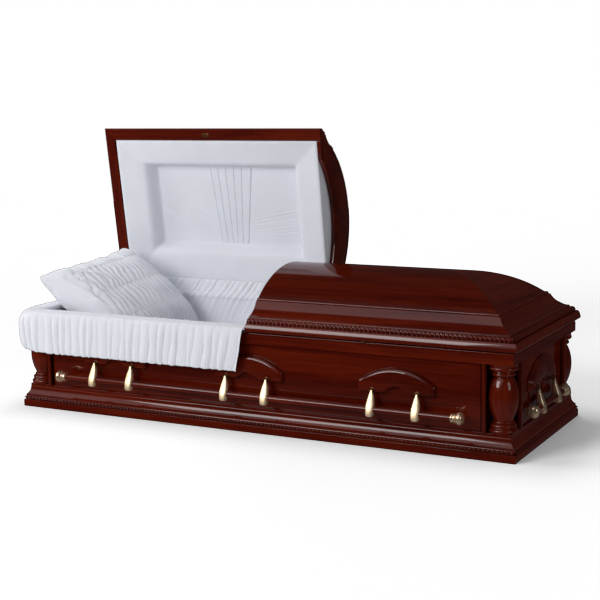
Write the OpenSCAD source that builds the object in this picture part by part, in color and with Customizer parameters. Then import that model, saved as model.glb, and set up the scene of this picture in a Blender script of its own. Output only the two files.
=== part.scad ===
// Half-couch hardwood funeral casket.
// Millimetres. X runs from the head end (-) to the foot end (+), Y from the
// front (-) to the hinge side (+), Z up. The origin is the centre of the
// underside. The head lid is drawn open, the foot lid closed.

/* [Case] */
// Length over the base moulding
case_l = 2130; // [2090:5:2200]
// Width over the base moulding
case_w = 752; // [740:4:780]
// Height of the base moulding
base_h = 93; // [88:1:96]
// Thickness of the bottom board
floor_t = 18; // [12:1:24]
// Thickness of the side and end walls
wall_t = 20; // [16:1:22]
// Top of the wall, under the top rail
wall_top = 339; // [336:1:342]
// Top of the rail that the lids close on
rail_top = 382; // [380:1:383]

/* [Lids] */
// Angle that the head lid stands open
lid_open = 82.3; // [0:0.1:85]
// Height of the hinge axis
hinge_z = 385; // [384.5:0.1:385.5]
// Distance of the hinge axis from the centre line
hinge_y = 362; // [361:0.5:363]
// Overhang of the lids beyond the base moulding
lid_over = 3; // [2:0.5:5]
// Where the lid is divided, from the middle
split_x = 5; // [0:1:20]
// Radius of the domed top
crown_r = 403; // [398:1:410]
// Thickness of the domed top
crown_t = 12; // [9:1:14]
// Thickness of the header board at the cut end
header_t = 18; // [12:1:22]

/* [Corner columns] */
// Distance of a column's axis from both outer edges
col_in = 65; // [63:1:68]
// Largest radius of the barrel
col_r = 52.8; // [48:0.2:53]

/* [Handles] */
// Spacing of the side escutcheons
esc_pitch = 612; // [590:1:630]
// Spacing of the two arms under one escutcheon, from its middle
arm_half = 88; // [80:1:95]
// Height of the arm pivots
pivot_z = 207; // [206:0.5:208]
// Height of the bar's centre
bar_z = 142; // [141:0.5:146]
// Radius of the wood bar
bar_r = 12; // [10:0.5:13]
// Half length of a side bar, without its tips
bar_half = 834; // [820:2:840]
// Half length of an end bar, without its tips
end_bar_half = 156; // [150:1:160]
// Largest radius of the brass tips
tip_r = 23.5; // [20:0.5:24]

/* [Cloth] */
// Top of the mattress
bed_top = 240; // [220:5:260]
// Bottom of the overthrow's hem
hem_z = 235; // [234:1:250]

/* [Hidden] */
$fn = 64;
WOOD = "#5a1a0c";
DARK = "#3c1008";
BRASS = "#d9b06a";
CLOTH = "#d5d8e4";
e = 0.01;
hl = case_l/2;
hw = case_w/2;
// insets from the outer edge of the base moulding
wall_in = 32;
rail_in = 12;
wall_inner = wall_in + wall_t;
notch = 118;
strip_in = 17;
// lid half sizes
lx = hl + lid_over + 1;
ly = hw + lid_over;
lid_z = 388;
crown_t0 = 106;
crown_foot = 497;
crown_c = crown_foot - sqrt(crown_r*crown_r - pow(ly - crown_t0, 2));
vault_x = lx - crown_t0 - sqrt(crown_r*crown_r - pow(crown_foot - crown_c, 2));

// points of an arc about (cx, cy)
function arc(cx, cy, r, a0, a1, n = 6) =
  [for (i = [0:n]) [cx + r*cos(a0 + (a1 - a0)*i/n), cy + r*sin(a0 + (a1 - a0)*i/n)]];

// A moulding along X: profile given as [inset, height], outer face at
// y = -half_d, both ends mitred, or the + end cut square at cut_x.
module run(profile, half_l, half_d, depth) {
  intersection() {
    translate([-half_l, -half_d, 0])
      rotate([90, 0, 90]) linear_extrude(2*half_l) polygon(profile);
    translate([0, 0, -1]) linear_extrude(1000) polygon([
      [-half_l, -half_d], [half_l, -half_d],
      [half_l - depth, -half_d + depth], [-half_l + depth, -half_d + depth]]);
  }
}
module at_front() { children(); }
module at_back() { rotate(180) children(); }
module at_foot() { rotate(90) children(); }
module at_head() { rotate(-90) children(); }

// ---------------------------------------------------------------- base
base_profile = concat(
  [[0, 0], [0, 26], [2.8, 29]],
  arc(3.2, 34.5, 4.6, 250, 110, 6),
  [[6, 39.5], [8, 40], [8, 43.6]],
  arc(-15.8, 78, 37.8, -55, 0, 8),
  [[23, 80], [23, base_h], [notch + 4, base_h], [notch + 4, base_h - 20],
   [44, base_h - 20], [30, 55], [30, 0]]);
module base_moulding_front() color(WOOD) at_front() run(base_profile, hl, hw, notch + 4);
module base_moulding_back() color(WOOD) at_back() run(base_profile, hl, hw, notch + 4);
module base_moulding_foot() color(WOOD) at_foot() run(base_profile, hw, hl, notch + 4);
module base_moulding_head() color(WOOD) at_head() run(base_profile, hw, hl, notch + 4);

module bottom_board() color(DARK)
  translate([-hl + 30, -hw + 30, 0]) cube([case_l - 60, case_w - 60, floor_t]);

// ---------------------------------------------------------------- walls
// A wall with its two returns round the column recesses and its edge strips.
// half_l is the half length of this side, half_d the half depth across.
module wall(half_l, half_d, turn) {
  xn = half_l - notch;
  translate([0, 0, base_h]) linear_extrude(wall_top - base_h) {
    translate([-xn, -half_d + wall_in]) square([2*xn, wall_t]);
    for (s = [-1, 1]) {
      // return, running back from the face; the long side's return covers
      // the corner, the end's return butts against it
      if (turn > 0)
        translate([s > 0 ? xn - wall_t : -xn, -half_d + wall_in])
          square([wall_t, notch - wall_in + wall_t]);
      else
        translate([s > 0 ? xn - wall_t : -xn, -half_d + wall_in])
          square([wall_t, notch - wall_in]);
      translate([s > 0 ? xn - 11 : -xn - 3, -half_d + strip_in])
        square([14, wall_in - strip_in + 1]);
    }
  }
}
module wall_front() color(WOOD) at_front() wall(hl, hw, 1);
module wall_back() color(WOOD) at_back() wall(hl, hw, 1);
module wall_foot() color(WOOD) at_foot() wall(hw, hl, 0);
module wall_head() color(WOOD) at_head() wall(hw, hl, 0);

// -------------------------------------------------------------- columns
module column() color(WOOD) rotate_extrude() polygon(concat(
  [[0, base_h], [49, base_h]],
  arc(46, 104, 7.5, -70, 80, 6),
  [[46.5, 114.5]],
  arc(41.5, 124.5, 6.8, -60, 75, 6),
  [[40, 134]],
  arc(38.5, 138, 3.6, -70, 80, 4),
  [[32, 142], [28, 144]],
  [for (i = [1:16]) let (z = 144 + 157*i/16)
     [z < 218 ? 28 + (col_r - 28)*sin(90*(z - 144)/74)
              : col_r - (col_r - 37.5)*pow((z - 218)/83, 1.9), z]],
  [[34, 302], [34, 306], [38, 306.5]],
  arc(38, 314, 5.5, -80, 80, 5),
  [[39, 321], [38.5, 327]],
  arc(45, 333.2, 6.6, -70, 60, 6),
  [[47, wall_top], [0, wall_top]]));
module place_column(sx, sy) translate([sx*(hl - col_in), sy*(hw - col_in), 0]) column();
module column_front_head() place_column(-1, -1);
module column_front_foot() place_column(1, -1);
module column_back_head() place_column(-1, 1);
module column_back_foot() place_column(1, 1);

// ------------------------------------------------------------- top rail
rail_profile = concat([[rail_in, wall_top]],
  [[rail_in, rail_top - 7]], arc(rail_in + 4, rail_top - 4, 4, 180, 90, 4),
  [[wall_inner, rail_top], [wall_inner, wall_top]]);
module rail(half_l, half_d, ears) {
  run(rail_profile, half_l, half_d, wall_inner);
  if (ears) for (s = [-1, 1])
    translate([s > 0 ? half_l - notch - wall_t : -half_l + wall_inner,
               -half_d + wall_inner - e, wall_top])
      cube([notch + wall_t - wall_inner, notch + wall_t - wall_inner + e, 24]);
}
module top_rail_front() color(WOOD) difference() {
  at_front() rail(hl, hw, false);
  // let in for the catch plate
  translate([481, -hw + rail_in - 5, rail_top - 5]) cube([18, 17, 10]);
}
module top_rail_back() color(WOOD) at_back() rail(hl, hw, false);
module top_rail_foot() color(WOOD) at_foot() rail(hw, hl, true);
module top_rail_head() color(WOOD) at_head() rail(hw, hl, true);
module rail_catch() color(BRASS)
  translate([481, -hw + rail_in - 1.5, rail_top - 5]) cube([18, 13.5, 6.5]);

// ---------------------------------------------------------- escutcheons
// One tier of the carved plate, drawn in width and height, inset by i from
// the full outline: straight feet, a segmental arch and an arched notch.
module esc_tier(half, foot_h, top_h, i, notch_w, notch_h) {
  w = half - i;
  h0 = foot_h - i*0.3;
  h1 = top_h - i;
  rise = h1 - h0;
  r = (w*w + rise*rise)/(2*rise);
  nr = (notch_w*notch_w/4 + notch_h*notch_h)/(2*notch_h);
  difference() {
    union() {
      translate([-w + 8, i*0.5]) square([2*w - 16, h0 - i*0.5]);
      translate([-w, i*0.5 + 8]) square([2*w, h0 - i*0.5 - 8]);
      for (s = [-1, 1]) translate([s*(w - 8), i*0.5 + 8]) circle(8);
      intersection() {
        translate([0, h1 - r]) circle(r, $fn = 128);
        translate([-w, h0 - e]) square([2*w, rise + 1]);
      }
    }
    translate([0, notch_h - nr + i*0.5]) circle(nr, $fn = 96);
    translate([-notch_w/2 - 6, -1]) square([notch_w + 12, 5 + i*0.5]);
  }
}
// The ears that a handle arm hangs between
module ears(gap) for (s = [-1, 1]) hull() for (y = [0, gap - 4.6])
  translate([s > 0 ? 5.4 : -8.4, y, 0]) rotate([0, 90, 0]) cylinder(r = 5.6, h = 3);
module escutcheon(thick, half, foot_h, top_h, notch_w, notch_h, arm, gap) {
  translate([0, 0, 200]) rotate([90, 0, 0]) {
    linear_extrude(thick*0.45) esc_tier(half, foot_h, top_h, 0, notch_w, notch_h);
    linear_extrude(thick*0.8) esc_tier(half, foot_h, top_h, 6, notch_w, notch_h);
    linear_extrude(thick) esc_tier(half, foot_h, top_h, 12, notch_w, notch_h);
  }
  for (s = [-1, 1]) translate([s*arm, -thick - gap, pivot_z]) ears(gap);
}
module side_escutcheon(x) color(DARK)
  translate([x, -hw + wall_in, 0]) escutcheon(20, 150, 40, 99, 106, 22, arm_half, side_gap);
module end_escutcheon() color(DARK)
  translate([0, -hl + wall_in, 0]) escutcheon(17, 158, 44, 112, 116, 24, arm_half + 4, end_gap);
module escutcheon_front_head() at_front() side_escutcheon(-esc_pitch);
module escutcheon_front_middle() at_front() side_escutcheon(0);
module escutcheon_front_foot() at_front() side_escutcheon(esc_pitch);
module escutcheon_back_head() at_back() side_escutcheon(esc_pitch);
module escutcheon_back_middle() at_back() side_escutcheon(0);
module escutcheon_back_foot() at_back() side_escutcheon(-esc_pitch);
module escutcheon_foot_end() at_foot() end_escutcheon();
module escutcheon_head_end() at_head() end_escutcheon();

// -------------------------------------------------------------- handles
arm_len = 98;
side_gap = 9;
end_gap = 5;
arm_profile = concat([[0, 4.6]], [[3, 3.6], [4.6, 0], [4.7, -8]],
  [for (i = [1:12]) let (u = i/12)
     [4.7 + 10.3*pow(sin(90*u), 1.3), -8 - 49*u]],
  [for (i = [1:8]) let (u = i/8) [15*sqrt(1 - 0.9*u*u) , -57 - (arm_len - 62)*u]],
  [[0, -arm_len + 2]]);
bar_out = 11;
module arm(lean) rotate([-lean, 0, 0]) rotate_extrude($fn = 48) polygon(arm_profile);
// Bar and arms are one rigid handle; pivot at y0, bar_out further out
module handle(y0, half, arms) {
  lean = atan(bar_out/(pivot_z - bar_z));
  translate([-half, y0 - bar_out, bar_z]) rotate([0, 90, 0]) cylinder(r = bar_r, h = 2*half);
  for (x = arms) translate([x, y0, pivot_z]) arm(lean);
}
side_y = -hw + wall_in - 20 - side_gap;
end_y = -hl + wall_in - 17 - end_gap;
side_arms = [for (p = [-1:1]) for (s = [-1, 1]) p*esc_pitch + s*arm_half];
end_arms = [-(arm_half + 4), arm_half + 4];
module bar_front() color(BRASS) at_front() handle(side_y, bar_half, side_arms);
module bar_back() color(BRASS) at_back() handle(side_y, bar_half, side_arms);
module bar_foot() color(BRASS) at_foot() handle(end_y, end_bar_half, end_arms);
module bar_head() color(BRASS) at_head() handle(end_y, end_bar_half, end_arms);
// Brass tip: collar, waist and a flattened ball, standing on the bar's end
module tip() color(BRASS) rotate_extrude($fn = 48) polygon(concat(
  [[0, 0], [bar_r + 2, 0], [bar_r + 3.6, 1.6], [bar_r + 3.6, 6], [bar_r + 2, 8],
   [bar_r + 2.5, 15], [bar_r + 5, 17], [bar_r + 5, 20], [bar_r + 2.6, 22]],
  [for (i = [0:9]) let (a = -38 + 12*i) [max(0, tip_r*cos(a)), 36 + 16*sin(a)]],
  [[0, 52]]));
module side_tip(s) translate([s*bar_half, side_y - bar_out, bar_z]) rotate([0, s*90, 0]) tip();
module end_tip(s) translate([s*end_bar_half, end_y - bar_out, bar_z]) rotate([0, s*90, 0]) tip();
module tip_front_head() at_front() side_tip(-1);
module tip_front_foot() at_front() side_tip(1);
module tip_back_head() at_back() side_tip(1);
module tip_back_foot() at_back() side_tip(-1);
module tip_foot_front() at_foot() end_tip(-1);
module tip_foot_back() at_foot() end_tip(1);
module tip_head_front() at_head() end_tip(1);
module tip_head_back() at_head() end_tip(-1);

// ---------------------------------------------------------------- cloth
ix = hl - wall_inner;
iy = hw - wall_inner;
module inner_plan(i) difference() {
  translate([-ix + i, -iy + i]) square([2*(ix - i), 2*(iy - i)]);
  for (sx = [-1, 1]) for (sy = [-1, 1])
    translate([sx*(ix + hl - notch - wall_t - i)/2, sy*(iy + hw - notch - wall_t - i)/2])
      square([ix - (hl - notch - wall_t) + i + 2*e, iy - (hw - notch - wall_t) + i + 2*e], center = true);
}
module mattress() color(CLOTH) {
  translate([-hl + notch + 8, -hw + notch + 8, floor_t])
    cube([case_l - 2*notch - 16, case_w - 2*notch - 16, base_h - floor_t]);
  translate([0, 0, base_h - 4]) linear_extrude(8) intersection() {
    inner_plan(18);
    square([case_l - 2*notch - 16, case_w - 2*notch - 16], center = true);
  }
  translate([0, 0, base_h]) linear_extrude(bed_top - base_h) inner_plan(18);
}
module side_lining() color(CLOTH)
  translate([0, 0, base_h]) linear_extrude(rail_top - base_h - 1) difference() {
    inner_plan(1);
    inner_plan(17);
  }
// Pillow: a plump cushion leaning up against the head end
module pillow() color(CLOTH)
  translate([-802, -10, 410]) rotate([3.8, 0, 0]) rotate([0, 37.5, 0])
    hull() {
      for (sy = [-1, 1]) {
        translate([-186, sy*228, 0]) sphere(46, $fn = 20);
        translate([-226, sy*262, 0]) sphere(14, $fn = 12);
        translate([196, sy*232, 0]) sphere(33, $fn = 20);
      }
      scale([2.35, 2.75, 0.78]) sphere(100, $fn = 32);
    }
// Overthrow: cloth laid over the front rail and round the head end
throw_profile = [[9, hem_z], [-10, hem_z], [-18, hem_z + 4], [-19, 320], [-20, 380],
  [-15, 396], [-4, 404], [20, 405], [56, 404], [70, 396], [72, rail_top + 1],
  [rail_in - 3, rail_top + 1], [rail_in - 3, 350]];
module overthrow() color(CLOTH) union() {
  // front length, mitred at the head corner, its end cut on the slant
  intersection() {
    translate([-hl - 20, -hw, 0]) rotate([90, 0, 90])
      linear_extrude(hl + 20 + split_x - 4) polygon(throw_profile);
    translate([0, 0, 200]) linear_extrude(300) polygon([
      [-hl - 20, -hw - 20], [split_x, -hw - 20], [split_x, -hw + 80], [-hl + 80, -hw + 80]]);
    translate([0, -hw - 60, 0]) rotate([-90, 0, 0]) linear_extrude(160) polygon([
      [-hl - 40, -500], [split_x - 4, -500], [split_x - 4, -400], [-32, -hem_z], [-32, -100], [-hl - 40, -100]]);
  }
  // head end length
  intersection() {
    rotate(-90) translate([-310, -hl, 0]) rotate([90, 0, 90])
      linear_extrude(hw + 20 + 310) polygon(throw_profile);
    translate([0, 0, 200]) linear_extrude(300) polygon([
      [-hl - 20.5, -hw - 20.5], [-hl + 80, -hw + 80], [-hl + 80, 310], [-hl - 20.5, 310]]);
  }
}
// Apron: gathered cloth that hides the hinge, from the back rail up the lid
module hinge_apron() color(CLOTH)
  translate([-985, 0, 0]) rotate([90, 0, 90]) linear_extrude(985 + split_x - 8) polygon([
    [307, rail_top + 1], [357, rail_top + 1], [357, 400], [354, 455], [346, 455], [334, 426], [318, 402], [307, 392]]);

// ------------------------------------------------------------------ lids
lid_profile = concat(
  [[1.5, lid_z + 1]], [[0, 392]], [[0, 401]], arc(6, 408, 6, 175, 100, 5),
  [[9, 418], [17, 418]],
  arc(21.5, 425, 6.6, 235, 140, 5),
  [[22, 434], [31, 435.5], [35, 437.5], [35, 441]],
  arc(37, 465, 24, -86, -18, 6),
  [[64.5, 462], [70, 468.5]],
  arc(74, 493, 20, -80, -8, 5),
  [[98, 490.5], [98, 493], [101, 498.5], [105, 500], [crown_t0, 500], [crown_t0, crown_foot],
   [crown_t0 + crown_t + 6, crown_foot], [118, 480], [75, 430], [50, 400], [50, lid_z], [3, lid_z]]);
// keep only the part of the lid on one side of the split
module side_of(s) intersection() {
  children();
  translate([s > 0 ? split_x + 0.5 : -1200 + split_x - 0.5, -600, 300]) cube([1200, 1200, 400]);
}
module lid_front(s) side_of(s) at_front() run(lid_profile, lx, ly, 130);
module lid_back(s) side_of(s) at_back() run(lid_profile, lx, ly, 130);
module lid_end(s) rotate(s*90) run(lid_profile, ly, lx, 130);
// Half a vault in section across the lid, and along it at the hipped end
module cross_vault(r, half) intersection() {
  translate([0, crown_c]) circle(r, $fn = 180);
  translate([-half, crown_foot]) square([2*half, 200]);
}
module long_vault(r, reach) intersection() {
  union() {
    translate([vault_x, crown_c]) circle(r, $fn = 180);
    translate([-50, crown_foot - 100]) square([vault_x + 50, crown_c + r - crown_foot + 100]);
  }
  translate([-50, crown_foot]) square([reach + 50, 200]);
}
module vault(r, half, reach) intersection() {
  rotate([90, 0, 90]) translate([0, 0, -50]) linear_extrude(1300) cross_vault(r, half);
  rotate([90, 0, 0]) translate([0, 0, -500]) linear_extrude(1000) long_vault(r, reach);
}
// one lid's dome, on the + side; sx is where the lid is cut
module crown(sx) difference() {
  intersection() {
    vault(crown_r, ly - crown_t0, lx - crown_t0);
    translate([sx, -500, 400]) cube([1200, 1000, 400]);
  }
  translate([0, 0, -e]) vault(crown_r - crown_t, ly - crown_t0 - 5, lx - crown_t0 - 5);
}
module header() translate([split_x + 0.5, 0, 0]) rotate([90, 0, 90]) linear_extrude(header_t)
  difference() {
    union() {
      intersection() {
        translate([0, crown_c]) circle(crown_r - crown_t - 0.3, $fn = 180);
        translate([-300, crown_foot - 1]) square([600, 300]);
      }
      polygon([[-328.5, lid_z], [328.5, lid_z], [328.5, 400], [303.5, 430], [260.5, 480],
               [254.5, crown_foot], [-254.5, crown_foot], [-260.5, 480], [-303.5, 430], [-328.5, 400]]);
    }
    translate([0, 21]) circle(446, $fn = 180);
  }
// Quilted lining under a lid: a puffed border sloping to a sunk panel.
// Sections across and along, cut from above and from below.
pan_z = 475;
module lining(x0, x1, px0, px1, b0, b1) difference() {
  intersection() {
    translate([x0, 0, 0]) rotate([90, 0, 90]) linear_extrude(x1 - x0) polygon([
      [-326, lid_z + 1], [-326, 399], [-299, 429], [-255, 480], [-248, 489], [248, 489],
      [255, 480], [299, 429], [326, 399], [326, lid_z + 1]]);
    translate([0, 340, 0]) rotate([90, 0, 0]) linear_extrude(680) polygon([
      [x0, lid_z + 1], [x0, b0 > 0 ? 399 : 489], [x0 + b0*0.38, b0 > 0 ? 429 : 489],
      [x0 + b0, 489], [x1 - b1, 489], [x1 - b1*0.38, b1 > 0 ? 429 : 489],
      [x1, b1 > 0 ? 399 : 489], [x1, lid_z + 1]]);
  }
  intersection() {
    translate([x0 - 1, 0, 0]) rotate([90, 0, 90]) linear_extrude(x1 - x0 + 2) polygon([
      [-320, lid_z - 1], [-318, lid_z + 3], [-228, 411], [-206, 430], [-200, pan_z],
      [153, pan_z], [160, 430], [195, 411], [318, lid_z + 3], [320, lid_z - 1]]);
    translate([0, 341, 0]) rotate([90, 0, 0]) linear_extrude(682) polygon([
      [x0 + 6, lid_z - 1], [x0 + 8, lid_z + 3], [px0 - 22, 411], [px0 - 5, 430], [px0, pan_z],
      [px1, pan_z], [px1 + 6, 430], [px1 + 34, 411], [x1 - 8, lid_z + 3], [x1 - 6, lid_z - 1]]);
  }
}
module leaf(x0, x1) {
  translate([x0, hinge_y, hinge_z]) rotate([0, 90, 0]) cylinder(r = 2.6, h = x1 - x0, $fn = 32);
  translate([x0, hinge_y - 22, lid_z - 1.8]) cube([x1 - x0, 22, 1.8]);
}

// open the head lid about the hinge line
module opened() translate([0, hinge_y, hinge_z]) rotate([-lid_open, 0, 0])
  translate([0, -hinge_y, -hinge_z]) children();
module head_lid_moulding_front() color(WOOD) opened() lid_front(-1);
module head_lid_moulding_back() color(WOOD) opened() lid_back(-1);
module head_lid_moulding_end() color(WOOD) opened() lid_end(-1);
module head_lid_crown() color(WOOD) opened() mirror([1, 0, 0]) crown(0.5 - split_x);
module head_lid_header() color(WOOD) opened() translate([2*split_x, 0, 0]) mirror([1, 0, 0]) header();
module head_lid_lining() color(CLOTH) opened()
  lining(-lx + 54, split_x - header_t - 1.5, -870, -156, 75, 0);
module head_lid_striker() color(BRASS) opened()
  translate([-563, -ly + 22, lid_z - 1.5]) cube([36, 16, 1.5]);
module head_lid_hinge() color(BRASS) opened() leaf(-980, -40);
module foot_lid_moulding_front() color(WOOD) lid_front(1);
module foot_lid_moulding_back() color(WOOD) lid_back(1);
module foot_lid_moulding_end() color(WOOD) lid_end(1);
module foot_lid_crown() color(WOOD) crown(split_x + 0.5);
module foot_lid_header() color(WOOD) header();
module foot_lid_lining() color(CLOTH)
  lining(split_x + header_t + 1.5, lx - 54, 166, 870, 0, 75);
module foot_lid_hinge() color(BRASS) leaf(50, 980);

bottom_board();
base_moulding_front();
base_moulding_back();
base_moulding_head();
base_moulding_foot();
wall_front();
wall_back();
wall_head();
wall_foot();
column_front_head();
column_front_foot();
column_back_head();
column_back_foot();
top_rail_front();
top_rail_back();
top_rail_head();
top_rail_foot();
escutcheon_front_head();
escutcheon_front_middle();
escutcheon_front_foot();
escutcheon_back_head();
escutcheon_back_middle();
escutcheon_back_foot();
escutcheon_head_end();
escutcheon_foot_end();
bar_front();
bar_back();
bar_head();
bar_foot();
tip_front_head();
tip_front_foot();
tip_back_head();
tip_back_foot();
tip_head_front();
tip_head_back();
tip_foot_front();
tip_foot_back();
mattress();
side_lining();
pillow();
overthrow();
hinge_apron();
rail_catch();
head_lid_moulding_front();
head_lid_moulding_back();
head_lid_moulding_end();
head_lid_crown();
head_lid_header();
head_lid_lining();
head_lid_striker();
head_lid_hinge();
foot_lid_moulding_front();
foot_lid_moulding_back();
foot_lid_moulding_end();
foot_lid_crown();
foot_lid_header();
foot_lid_lining();
foot_lid_hinge();
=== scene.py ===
import bpy
import math
import numpy as np
from mathutils import Matrix, Vector

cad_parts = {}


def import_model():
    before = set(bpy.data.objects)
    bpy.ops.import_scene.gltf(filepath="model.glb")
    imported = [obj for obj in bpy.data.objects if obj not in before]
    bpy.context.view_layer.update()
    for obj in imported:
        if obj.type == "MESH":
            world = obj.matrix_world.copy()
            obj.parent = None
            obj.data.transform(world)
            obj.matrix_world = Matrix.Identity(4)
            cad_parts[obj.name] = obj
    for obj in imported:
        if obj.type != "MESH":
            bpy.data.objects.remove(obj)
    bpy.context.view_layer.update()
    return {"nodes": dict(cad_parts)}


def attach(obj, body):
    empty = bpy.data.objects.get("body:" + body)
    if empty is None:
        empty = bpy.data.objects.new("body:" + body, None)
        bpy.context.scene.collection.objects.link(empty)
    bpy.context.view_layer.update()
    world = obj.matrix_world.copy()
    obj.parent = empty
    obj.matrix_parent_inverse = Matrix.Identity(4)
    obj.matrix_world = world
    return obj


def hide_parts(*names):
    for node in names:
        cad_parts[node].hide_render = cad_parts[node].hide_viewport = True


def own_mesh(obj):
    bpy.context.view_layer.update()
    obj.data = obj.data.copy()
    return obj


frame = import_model()
scene = bpy.context.scene
MM = 0.001

# ------------------------------------------------------------------ sizes (mm)
HL, HW = 1065.0, 376.0
BASE_H, WALL_TOP, RAIL_TOP = 93.0, 339.0, 382.0
WALL_IN, WALL_T, RAIL_IN, NOTCH, STRIP_IN = 32.0, 20.0, 12.0, 118.0, 17.0
WALL_INNER = WALL_IN + WALL_T
LX, LY, LID_Z, SPLIT = HL + 4, HW + 3, 388.0, 5.0
HY, HZ, OPEN = 362.0, 385.0, 82.3
CR, CT, CT0, CFOOT = 403.0, 12.0, 106.0, 497.0
CC = CFOOT - math.sqrt(CR * CR - (LY - CT0) ** 2)
VX = LX - CT0 - math.sqrt(CR * CR - (CFOOT - CC) ** 2)
PIVZ, BARZ, BAR_OUT = 207.0, 142.0, 11.0
SIDE_Y = -HW + WALL_IN - 29
END_Y = -HL + WALL_IN - 22

# -------------------------------------------------------------------- camera
cam_data = bpy.data.cameras.new("camera")
cam = bpy.data.objects.new("camera", cam_data)
scene.collection.objects.link(cam)
scene.camera = cam
_az, _el, _roll, _f = 0.488209, 0.160212, -0.018085, 1340.63
_fw = Vector((-math.sin(_az) * math.cos(_el), math.cos(_az) * math.cos(_el), -math.sin(_el)))
_rt = Vector((math.cos(_az), math.sin(_az), 0))
_up = _rt.cross(_fw)
_r = _rt * math.cos(_roll) + _up * math.sin(_roll)
_u = -_rt * math.sin(_roll) + _up * math.cos(_roll)
_m = Matrix((_r, _u, -_fw)).transposed().to_4x4()
_m.translation = Vector((2.50815, -4.64364, 1.30308))
cam.matrix_world = _m
cam_data.sensor_width = 36
cam_data.lens = _f * 36 / 600
cam_data.clip_end = 200


# ------------------------------------------------------------------- helpers
def obj_from(name, verts, faces, mats, mat_index=None, angle=32, smooth=True):
    """A mesh object from points in millimetres, in the row frame."""
    me = bpy.data.meshes.new(name)
    me.from_pydata((np.asarray(verts, float) * MM).tolist(), [], [tuple(int(i) for i in f) for f in faces])
    if not isinstance(mats, (list, tuple)):
        mats = [mats]
    for m in mats:
        me.materials.append(m)
    if mat_index is not None:
        me.polygons.foreach_set("material_index", np.asarray(mat_index, dtype=np.int32))
    me.validate()
    me.update()
    if smooth:
        me.shade_smooth()
        me.set_sharp_from_angle(angle=math.radians(angle))
    o = bpy.data.objects.new(name, me)
    scene.collection.objects.link(o)
    return o


def recalc(o):
    import bmesh

    bm = bmesh.new()
    bm.from_mesh(o.data)
    bmesh.ops.recalc_face_normals(bm, faces=bm.faces)
    bm.to_mesh(o.data)
    bm.free()
    return o


def join(name, parts):
    """Several meshes as one piece."""
    bpy.ops.object.select_all(action="DESELECT")
    for p in parts:
        p.select_set(True)
    bpy.context.view_layer.objects.active = parts[0]
    bpy.ops.object.join()
    parts[0].name = name
    parts[0].data.name = name
    return parts[0]


def apply_mods(o):
    bpy.context.view_layer.update()
    dg = bpy.context.evaluated_depsgraph_get()
    me = bpy.data.meshes.new_from_object(o.evaluated_get(dg), preserve_all_data_layers=True, depsgraph=dg)
    o.modifiers.clear()
    o.data = me
    return o


def bevelled(o, width, segments=3, angle=32):
    b = o.modifiers.new("edge", "BEVEL")
    b.width = width * MM
    b.segments = segments
    b.limit_method = "ANGLE"
    b.angle_limit = math.radians(angle)
    b.harden_normals = False
    apply_mods(o)
    o.data.shade_smooth()
    o.data.set_sharp_from_angle(angle=math.radians(50))
    return o


def turn_pts(p, quarter):
    """Points of a piece drawn on the front side, turned to side 0..3 (front, foot, back, head)."""
    a = math.radians(90 * quarter)
    c, s = round(math.cos(a)), round(math.sin(a))
    p = np.asarray(p, float)
    return np.stack([p[:, 0] * c - p[:, 1] * s, p[:, 0] * s + p[:, 1] * c, p[:, 2]], 1)


SIDE = {"front": 0, "foot": 1, "back": 2, "head": 3}


def lid_open(p):
    """Closed-lid points to where they are with the head lid open, as at rest."""
    a = math.radians(OPEN)
    c, s = math.cos(a), math.sin(a)
    p = np.asarray(p, float)
    dy, dz = p[:, 1] - HY, p[:, 2] - HZ
    return np.stack([p[:, 0], HY + dy * c + dz * s, HZ - dy * s + dz * c], 1)


def arc(cx, cy, r, a0, a1, n):
    return [(cx + r * math.cos(math.radians(a0 + (a1 - a0) * i / n)), cy + r * math.sin(math.radians(a0 + (a1 - a0) * i / n))) for i in range(n + 1)]


def spline(pts, n):
    """A smooth curve through the points, n steps a span."""
    p = [np.array(q, float) for q in pts]
    p = [2 * p[0] - p[1]] + p + [2 * p[-1] - p[-2]]
    out = []
    for i in range(1, len(p) - 2):
        a, b, c, d = p[i - 1 : i + 3]
        for k in range(n):
            t = k / n
            out.append(0.5 * (2 * b + (c - a) * t + (2 * a - 5 * b + 4 * c - d) * t * t + (3 * b - a - 3 * c + d) * t**3))
    out.append(p[-2])
    return np.array(out)


def rnd(seed):
    return np.random.default_rng(seed)


def wobble(x, seed, waves):
    """A smooth random-looking line: waves is a list of (wavelength, height)."""
    g = rnd(seed)
    y = np.zeros_like(x, dtype=float)
    for lam, h in waves:
        for k in range(3):
            y += h * np.sin(2 * np.pi * x / (lam * g.uniform(0.75, 1.3)) + g.uniform(0, 7)) / 1.7
    return y


def grid_faces(nu, nv, offset=0, flip=False):
    i, j = np.meshgrid(np.arange(nu - 1), np.arange(nv - 1), indexing="ij")
    a = (i * nv + j + offset).ravel()
    f = np.stack([a, a + nv, a + nv + 1, a + 1], 1)
    return f[:, ::-1] if flip else f


# ----------------------------------------------------------------- materials
def new_mat(name):
    m = bpy.data.materials.new(name)
    m.use_nodes = True
    nt = m.node_tree
    b = nt.nodes["Principled BSDF"]
    return m, nt, b


def node(nt, kind, **kw):
    n = nt.nodes.new(kind)
    for k, v in kw.items():
        setattr(n, k, v)
    return n


def ramp(nt, stops):
    r = node(nt, "ShaderNodeValToRGB")
    el = r.color_ramp.elements
    el[0].position, el[0].color = stops[0][0], (*stops[0][1], 1)
    el[1].position, el[1].color = stops[-1][0], (*stops[-1][1], 1)
    for p, c in stops[1:-1]:
        e = el.new(p)
        e.color = (*c, 1)
    return r


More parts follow.
